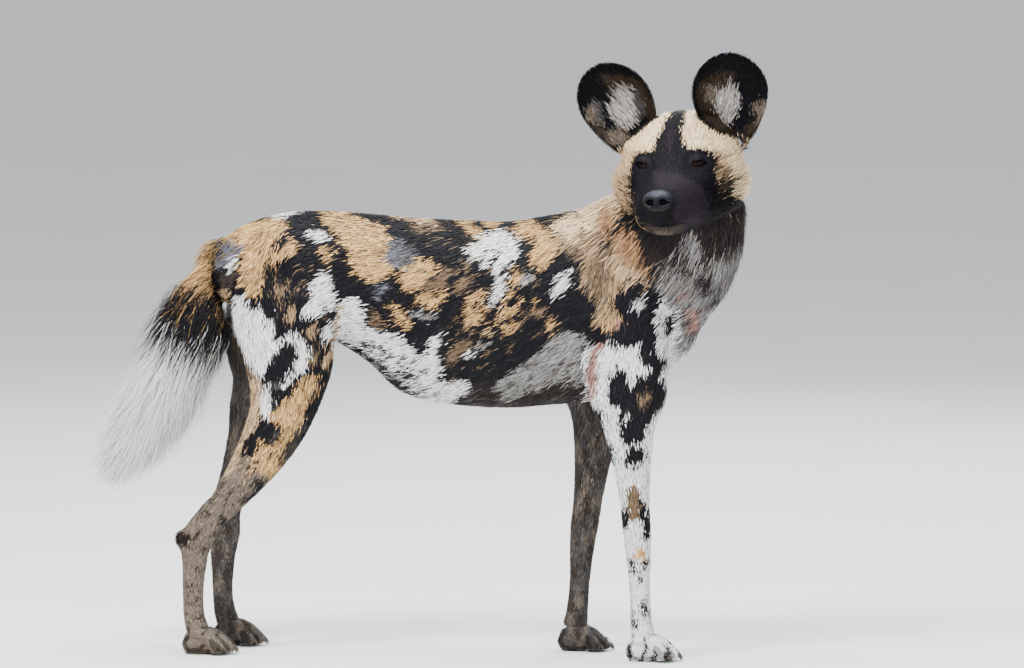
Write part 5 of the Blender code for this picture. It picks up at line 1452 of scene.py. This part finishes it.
def coat_piece(name, kept, parts, slot, finish, seed, spread, stray, width_share, raggedness):
    """The tufts of one area of the skin, planted evenly over its triangles and painted where they show.

    Spread is how unlike the tufts are in lightness, stray how far a tuft's colour is looked up from
    its place, width_share a tuft's width over the spacing, and raggedness how the marks' edges break.
    """
    rng = np.random.default_rng(seed)
    chosen = np.flatnonzero(kept[skin_faces[:, 0]] & ~bare[skin_faces].any(1))
    faces = skin_faces[chosen]
    a, b, c = (skin_points[faces[:, k]] for k in range(3))
    area = 0.5 * np.linalg.norm(np.cross(b - a, c - a), axis=1)
    expected = area / spacing[faces].mean(1) ** 2
    count = np.floor(expected + rng.random(len(faces))).astype(int)
    owner = faces[np.repeat(np.arange(len(faces)), count)]
    u, v = np.sqrt(rng.random(len(owner))), rng.random(len(owner))
    weight = np.stack([1.0 - u, u * (1.0 - v), u * v], -1)

    def at_root(values):
        """A value of the skin's points, read at each root."""
        picked = values[owner]
        return (picked * weight.reshape(weight.shape + (1,) * (picked.ndim - 2))).sum(1)

    roots, normals = at_root(skin_points), unit(at_root(skin_normals))
    lies = unit(laid_flat(at_root(flow), normals), 1e-9)
    lengths = at_root(length) * rng.uniform(0.75, 1.2, len(roots))
    widths = at_root(spacing) * width_share * rng.uniform(0.8, 1.25, len(roots))
    shown = roots + (rng.uniform(0.2, 0.85, len(roots)) * lengths)[:, None] * lies
    off, places = near_parts(shown)
    first = owner[:, 0]
    of_part = np.where(np.isin(off.argmin(1), parts), off.argmin(1), part[first])
    looked_up = rng.normal(0.0, stray, (len(roots), 2))
    colours = painted(shown, normals, of_part, places, 1.0, raggedness, looked_up)
    odd = rng.random(len(roots)) < ODD_HAIR
    colours[odd] = 0.35 * colours[odd] + 0.012
    lightness = np.exp(rng.normal(0.0, spread, len(roots)))[:, None]
    colours = np.minimum(colours * lightness, MOST_LIGHT)
    turn, place = around(roots, part[first], along[first])
    column = np.searchsorted(parts, np.clip(part[first], parts[0], parts[-1])) / len(parts)
    on_ear = np.isin(part[first], (EAR_RIGHT, EAR_LEFT))
    back = ((normals @ toward_camera) < 0.0) & on_ear
    turn = np.where(on_ear, 0.5 * turn + 0.5 * back, turn)
    charts = np.stack([column + (0.01 + 0.98 * turn) / len(parts), 0.01 + 0.98 * place], -1)
    obj = tuft_mesh(name, roots, normals, lies, lengths, widths, at_root(lift), charts, colours, rng)
    obj.data.materials.append(finish)
    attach(obj, "root")
    return obj


CROWN_BEHIND = 0.012
near_half, front_of_head = skin_points[:, 1] < MIDLINE_Y, in_head[:, 0] > CROWN_BEHIND
on_trunk, on_head = part == TRUNK_PART, part == HEAD_PART
on_ears, on_forelegs = np.isin(part, (EAR_RIGHT, EAR_LEFT)), np.isin(part, (FORE_RIGHT, FORE_LEFT))
on_right_hind, on_left_hind = part == HIND_RIGHT, part == HIND_LEFT
# Spread, stray, width_share and raggedness of each piece's tufts.
even, patchy = (0.32, 1.9, 0.66, 1.9), (0.36, 2.2, 0.66, 1.9)
for seed, (name, kept, parts, slot, finish, looks) in enumerate([
    ("coat_flank_right", on_trunk & near_half, [TRUNK_PART], "body_coat", body_hair, even),
    ("coat_flank_left", on_trunk & ~near_half, [TRUNK_PART], "body_coat", body_hair, even),
    ("coat_neck", part == NECK_PART, [NECK_PART], "neck_coat", body_hair, patchy),
    ("coat_face", on_head & front_of_head, [HEAD_PART], "head_coat", face_hair, (0.34, 2.2, 0.62, 1.4)),
    ("coat_crown", on_head & ~front_of_head, [HEAD_PART], "head_coat", face_hair,
     (0.24, 1.8, 0.66, 1.4)),
    ("coat_ears", on_ears, [EAR_RIGHT, EAR_LEFT], "ear_coat", face_hair, (0.42, 2.4, 0.7, 1.6)),
    ("coat_forelegs", on_forelegs, [FORE_RIGHT, FORE_LEFT], "leg_coat", body_hair, even),
    ("coat_hindleg_right", on_right_hind, [HIND_RIGHT], "leg_coat", body_hair, even),
    ("coat_hindleg_left", on_left_hind, [HIND_LEFT], "leg_coat", body_hair, even),
    ("coat_tail", part == TAIL_PART, [TAIL_PART], "tail_brush", long_hair, (0.20, 2.6, 0.66, 1.9)),
], 21):
    coat_piece(name, kept, parts, slot, finish, seed, *looks)

# Eyes
# Two dark brown eyes set a little apart and outwards, wet and shining. Each is one turned ball
# whose front rises into a clear bulge, with the iris and pupil coloured by the turn off its middle.
CORNEA_ANGLE = math.radians(42.0)
CORNEA_RISE = 0.0009
EYE_ROWS, EYE_COLUMNS = 72, 64


def eye_material():
    """A black pupil, a dark brown iris streaked outwards and a dim brown white, smooth and wet."""
    made, tree, shader = material("wet_eye", 0.09, 0.09)
    angle = node(tree, "Attribute", {"attribute_name": "OffGaze"}).outputs["Fac"]
    around_gaze = node(tree, "UVMap", {"uv_map": "Turn"}).outputs["UV"]
    spokes = node(tree, "Mapping", Vector=around_gaze, Scale=(26.0, 1.5, 1.0)).outputs["Vector"]
    streak = node(tree, "TexNoise", Vector=spokes, Scale=2.0, Detail=2.0).outputs["Fac"]
    iris = node(tree, "ValToRGB", i0=streak)
    iris.color_ramp.elements[0].color = (0.006, 0.003, 0.002, 1.0)
    iris.color_ramp.elements[1].color = (0.040, 0.016, 0.007, 1.0)
    pupil = node(tree, "MapRange", i0=angle, i1=0.125, i2=0.150, i3=0.0, i4=1.0).outputs["Result"]
    rim = node(tree, "MapRange", i0=angle, i1=0.25, i2=0.29, i3=1.0, i4=0.10).outputs["Result"]
    shade = product(tree, pupil, rim)
    tree.links.new(scaled(tree, iris.outputs["Color"], shade), shader.inputs["Base Color"])
    return made


def eyeball(side, finish):
    """Rings of rising angle off the gaze: the eye's radius, with a smooth bulge inside the cornea's."""
    off = np.linspace(0.02, math.pi - 0.02, EYE_ROWS)
    inside_cornea = np.clip(off / CORNEA_ANGLE, 0.0, 1.0)
    radius = EYE_RADIUS + CORNEA_RISE * np.cos(inside_cornea * math.pi / 2.0) ** 1.4
    turn = np.linspace(0.0, 2.0 * math.pi, EYE_COLUMNS, endpoint=False)
    s, c = np.sin(off)[:, None], np.cos(off)[:, None]
    ray = points_of(s * np.cos(turn), s * np.sin(turn), c)
    aim = eye_gaze(side).to_track_quat("Z", "Y").to_matrix().to_4x4()
    place = Matrix.Translation(Vector(SHIFT)) @ to_world @ Matrix.Translation(eye_centre(side)) @ aim
    points, faces = tube(moved(ray * radius[:, None, None], place))
    obj = mesh_piece("eyeball_" + side, points, faces)
    values = np.concatenate([np.repeat(off, EYE_COLUMNS), [0.0, math.pi]]) / math.pi
    angles = obj.data.attributes.new("OffGaze", "FLOAT", "POINT")
    angles.data.foreach_set("value", values.astype(np.float32))
    turns = np.concatenate([np.tile(turn, EYE_ROWS), [0.0, 0.0]]) / (2.0 * math.pi)
    flat = np.column_stack([turns, values])[faces.ravel()].astype(np.float32)
    obj.data.uv_layers.new(name="Turn").data.foreach_set("uv", flat.ravel())
    obj.data.materials.append(finish)
    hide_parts("eye_" + side)
    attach(obj, "root")
    return obj


eye_finish = eye_material()
for side in SIDES:
    eyeball(side, eye_finish)

# Nose
# The bare, damp, pebbled pad at the end of the muzzle, blue-black, with a nostril each side that
# sweeps back into a slit, and a groove down its middle.
NOSE_HALF = np.array([0.0156, 0.0224, 0.0168])


def nose_shape():
    """A rounded pad: squared ball with dished nostrils, slits to the sides and a middle groove."""
    a = np.linspace(0.03, math.pi - 0.03, 110)[:, None]
    b = np.linspace(0.0, 2.0 * math.pi, 150, endpoint=False)[None, :]
    ray = points_of(np.cos(a), np.sin(a) * np.cos(b), np.sin(a) * np.sin(b))
    x, y, z = np.moveaxis(np.sign(ray) * abs(ray) ** 0.86 * NOSE_HALF, -1, 0)
    ahead = np.clip(x / NOSE_HALF[0], 0.0, 1.0)
    side = abs(y)
    hole = mound(side, z, (0.0096, 0.0006), (0.0052, 0.0048))
    above_slit = z + 0.0020 - 0.25 * (side - 0.0100)
    slit = mound(side, above_slit, (0.0168, 0.0), (0.0060, 0.0016))
    wing = mound(side, z, (0.0160, 0.0055), (0.0045, 0.0045))
    groove = np.exp(-((y / 0.0010) ** 2)) * np.clip((0.006 - z) / 0.006, 0.0, 1.0)
    back = 0.0108 * hole + 0.0045 * slit + 0.0016 * groove - 0.0012 * wing
    scale = 1.0 - 0.16 * np.clip(-z / NOSE_HALF[2], 0.0, 1.0)
    return np.stack([x - back * ahead**0.5, y * scale, z], -1) + NOSE_CENTRE


def nose_material():
    """Damp pebbled hide: small raised cells, blue-black, with a painted highlight greying the top."""
    made, tree, shader = material("nose_hide", 0.36, 0.16)
    place = node(tree, "TexCoord").outputs["Object"]
    cell = node(tree, "TexVoronoi", Vector=place, Scale=780.0).outputs["Distance"]
    tone = node(tree, "ValToRGB", i0=cell)
    tone.color_ramp.elements[0].color = (0.0060, 0.0065, 0.0100, 1.0)
    tone.color_ramp.elements[1].color = (0.0016, 0.0016, 0.0026, 1.0)
    # The colour is half up to just above the nose's middle and seven times near its top: a painted
    # highlight.
    height = node(tree, "SeparateXYZ", Vector=place).outputs["Z"]
    level = (nose_place @ Vector(NOSE_CENTRE)).z
    top_highlight = node(tree, "MapRange", i0=height, i1=level + 0.004, i2=level + 0.015, i3=0.5, i4=7.0)
    hue = scaled(tree, tone.outputs["Color"], top_highlight.outputs["Result"])
    tree.links.new(hue, shader.inputs["Base Color"])
    raised = node(tree, "Bump", {"invert": True}, Height=cell, Strength=0.6, Distance=0.0005)
    tree.links.new(raised.outputs["Normal"], shader.inputs["Normal"])
    return made


nose_place = Matrix.Translation(Vector(SHIFT)) @ to_world
nose_pad = mesh_piece("nose_pad", *tube(moved(nose_shape(), nose_place)))
nose_pad.data.materials.append(nose_material())
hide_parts("nose")
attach(nose_pad, "root")

# Claws
# Sixteen short, blunt, dark claws, one out of the hair at the end of each toe. Each is a tapered
# horn tube that curves down to the floor.
CLAW_LENGTH, CLAW_TOP, CLAW_FALL = 0.0125, 0.0125, 0.0105
CLAW_BEND = 1.25


def claw_rings(side, kind, place):
    """Rings along an arc forward and down, with radii that fall by a power of the way along."""
    x, y, forward, spread = toe_line(side, kind, place)
    t = np.linspace(0.0, 1.0, 14)
    start = x + 0.99 * forward
    fall = CLAW_FALL * (1.0 - np.cos(t * CLAW_BEND)) / (1.0 - math.cos(CLAW_BEND))
    rows = np.stack([
        start + CLAW_LENGTH * np.sin(t * CLAW_BEND), np.full(14, y + 1.05 * spread), CLAW_TOP - fall,
        0.0036 * (1.0 - 0.86 * t**1.4), 0.0026 * (1.0 - 0.84 * t**1.4),
    ], -1)
    return limb_rings(rows, 20, 16) + SHIFT


def grain_effect():
    """A grain of two colours, from noise of a given scale and detail at the place given."""
    group, given, out = effect(
        "grain_effect", Place="Vector", Scale="Float", Detail="Float", Dark="Color", Light="Color")
    grain = node(group, "TexNoise", Vector=given["Place"], Scale=given["Scale"], Detail=given["Detail"])
    grain = grain.outputs["Fac"]
    tone = node(group, "Mix", {"data_type": "RGBA"}, i0=grain, i6=given["Dark"], i7=given["Light"])
    group.links.new(tone.outputs[2], out["Color"])
    group.links.new(grain, out["Height"])
    return group


grain_group = grain_effect()


def grained(name, roughness, specular, scale, detail, dark, light, raised=0.0):
    """A material of two colours in a grain, and a bump from it that stands up by raised metres."""
    made, tree, shader = material(name, roughness, specular)
    place = node(tree, "TexCoord").outputs["Object"]
    grain = node(tree, "Group", {"node_tree": grain_group}, Place=place, Scale=scale, Detail=detail,
                 Dark=(*dark, 1.0), Light=(*light, 1.0)).outputs
    tree.links.new(grain["Color"], shader.inputs["Base Color"])
    if raised:
        worn = node(tree, "Bump", Height=grain["Height"], Strength=0.3, Distance=raised)
        tree.links.new(worn.outputs["Normal"], shader.inputs["Normal"])
    return made


claws = joined_shells("claws", [
    tube(claw_rings(side, kind, place))
    for side in SIDES for kind in ("fore", "hind") for place in TOE_PLACES
])
horn = grained("claw_horn", 0.38, 0.5, 700.0, 3.0, (0.012, 0.010, 0.009), (0.075, 0.055, 0.042), 0.0002)
claws.data.materials.append(horn)
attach(claws, "root")

# Whiskers
# Long black bristles in rows on the sides of the muzzle, with a few over each eye and on the chin.
# Each is a hair-thin tapered tube that bends back and down under its own weight.


def whisker(root, way, long, thick, sag):
    """Rings along a line that leaves along way and falls by the square of its length."""
    t = np.linspace(0.0, 1.0, 12)[:, None]
    line = root + long * (way * t + np.array([-0.35, 0.0, -1.0]) * sag * t**2)
    step = unit(np.gradient(line, axis=0))
    first = unit(np.cross(step, [0.1, 0.2, 1.0]))
    second = np.cross(step, first)
    a = np.linspace(0.0, 2.0 * math.pi, 5, endpoint=False)[None, :, None]
    radius = (thick * (1.0 - 0.85 * t))[..., None]
    return line[:, None] + radius * (first[:, None] * np.cos(a) + second[:, None] * np.sin(a))


def whisker_set(rng):
    """Rows of whiskers on the pads, brow bristles and chin hairs, as shells in the head's frame."""
    shells = []

    def grow(root, way, unlike, shortest, longest, thick, sag):
        """One more whisker: its way is varied first, and its length is drawn after that."""
        way = unit(np.array(way) + rng.normal(0.0, unlike, 3))
        shells.append(whisker(np.array(root), way, rng.uniform(shortest, longest), thick, sag))

    for sign in SIDES.values():
        for row in range(3):
            for place in range(4):
                root = (0.124 - 0.0095 * place + 0.002 * row, sign * (0.030 + 0.0022 * place),
                        -0.050 - 0.0068 * row)
                way = (0.30 - 0.20 * place, sign * 1.0, -0.10 - 0.12 * row)
                grow(root, way, 0.08, 0.018, 0.034, 0.00020, 0.30)
        for place in range(4):
            root = (0.047 - 0.002 * place, sign * (0.026 + 0.006 * place), 0.013)
            grow(root, (0.55, sign * (0.1 + 0.15 * place), 0.9), 0.08, 0.012, 0.020, 0.00016, 0.25)
        for place in range(4):
            root = (0.118 - 0.008 * place, sign * (0.006 + 0.005 * place), -0.0945)
            grow(root, (0.45, sign * 0.3, -0.9), 0.1, 0.008, 0.015, 0.00015, 0.20)
    return [tube(moved(rings, nose_place)) for rings in shells]


whiskers = joined_shells("whiskers", whisker_set(np.random.default_rng(31)))
bristle = grained(
    "whisker_bristle", 0.50, 0.06, 90.0, 2.0, (0.006, 0.005, 0.005), (0.050, 0.035, 0.026))
whiskers.data.materials.append(bristle)
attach(whiskers, "root")

# Floor, light and camera
# A wide pale floor, big soft lights from above and the front, and a camera where the photograph's
# would stand. None of them belongs to the animal.
FLOOR_HALF = 55.0
corners = FLOOR_HALF * np.array([
    (-1.0, -1.0, 0.0), (1.0, -1.0, 0.0), (1.0, 1.0, 0.0), (-1.0, 1.0, 0.0)])
floor = mesh_piece("floor", corners, np.array([(0, 1, 2, 3)]))
pale = grained("pale_floor", 0.85, 0.2, 3.0, 4.0, (0.70, 0.70, 0.69), (0.76, 0.76, 0.75))
floor.data.materials.append(pale)


def soft_light(name, place, power, size, target=(0.1, 0.06, 0.45)):
    """A square area light of a given size and power, turned to the animal."""
    data = bpy.data.lights.new(name, "AREA")
    data.energy, data.size = power, size
    lamp = bpy.data.objects.new(name, data)
    lamp.location = place
    lamp.rotation_euler = (Vector(target) - Vector(place)).to_track_quat("-Z", "Y").to_euler()
    bpy.context.scene.collection.objects.link(lamp)


soft_light("key", (-1.2, -2.6, 4.0), 430.0, 1.5)
soft_light("fill", (2.8, -3.0, 1.8), 70.0, 2.6)
soft_light("top", (0.2, 0.2, 4.2), 260.0, 3.0)
soft_light("back", (0.6, 3.6, 2.6), 110.0, 2.4)
sky = bpy.data.worlds.new("studio")
sky.use_nodes = True
sky.node_tree.nodes["Background"].inputs["Color"].default_value = (0.90, 0.94, 1.0, 1.0)
sky.node_tree.nodes["Background"].inputs["Strength"].default_value = 0.95
bpy.context.scene.world = sky

lens = bpy.data.cameras.new("camera")
lens.lens, lens.sensor_width = LENS, SENSOR
lens.clip_end = 200.0
camera = bpy.data.objects.new("camera", lens)
camera.location = camera_place
camera.rotation_euler = Vector(-toward_camera).to_track_quat("-Z", "Y").to_euler()
bpy.context.scene.collection.objects.link(camera)
bpy.context.scene.camera = camera
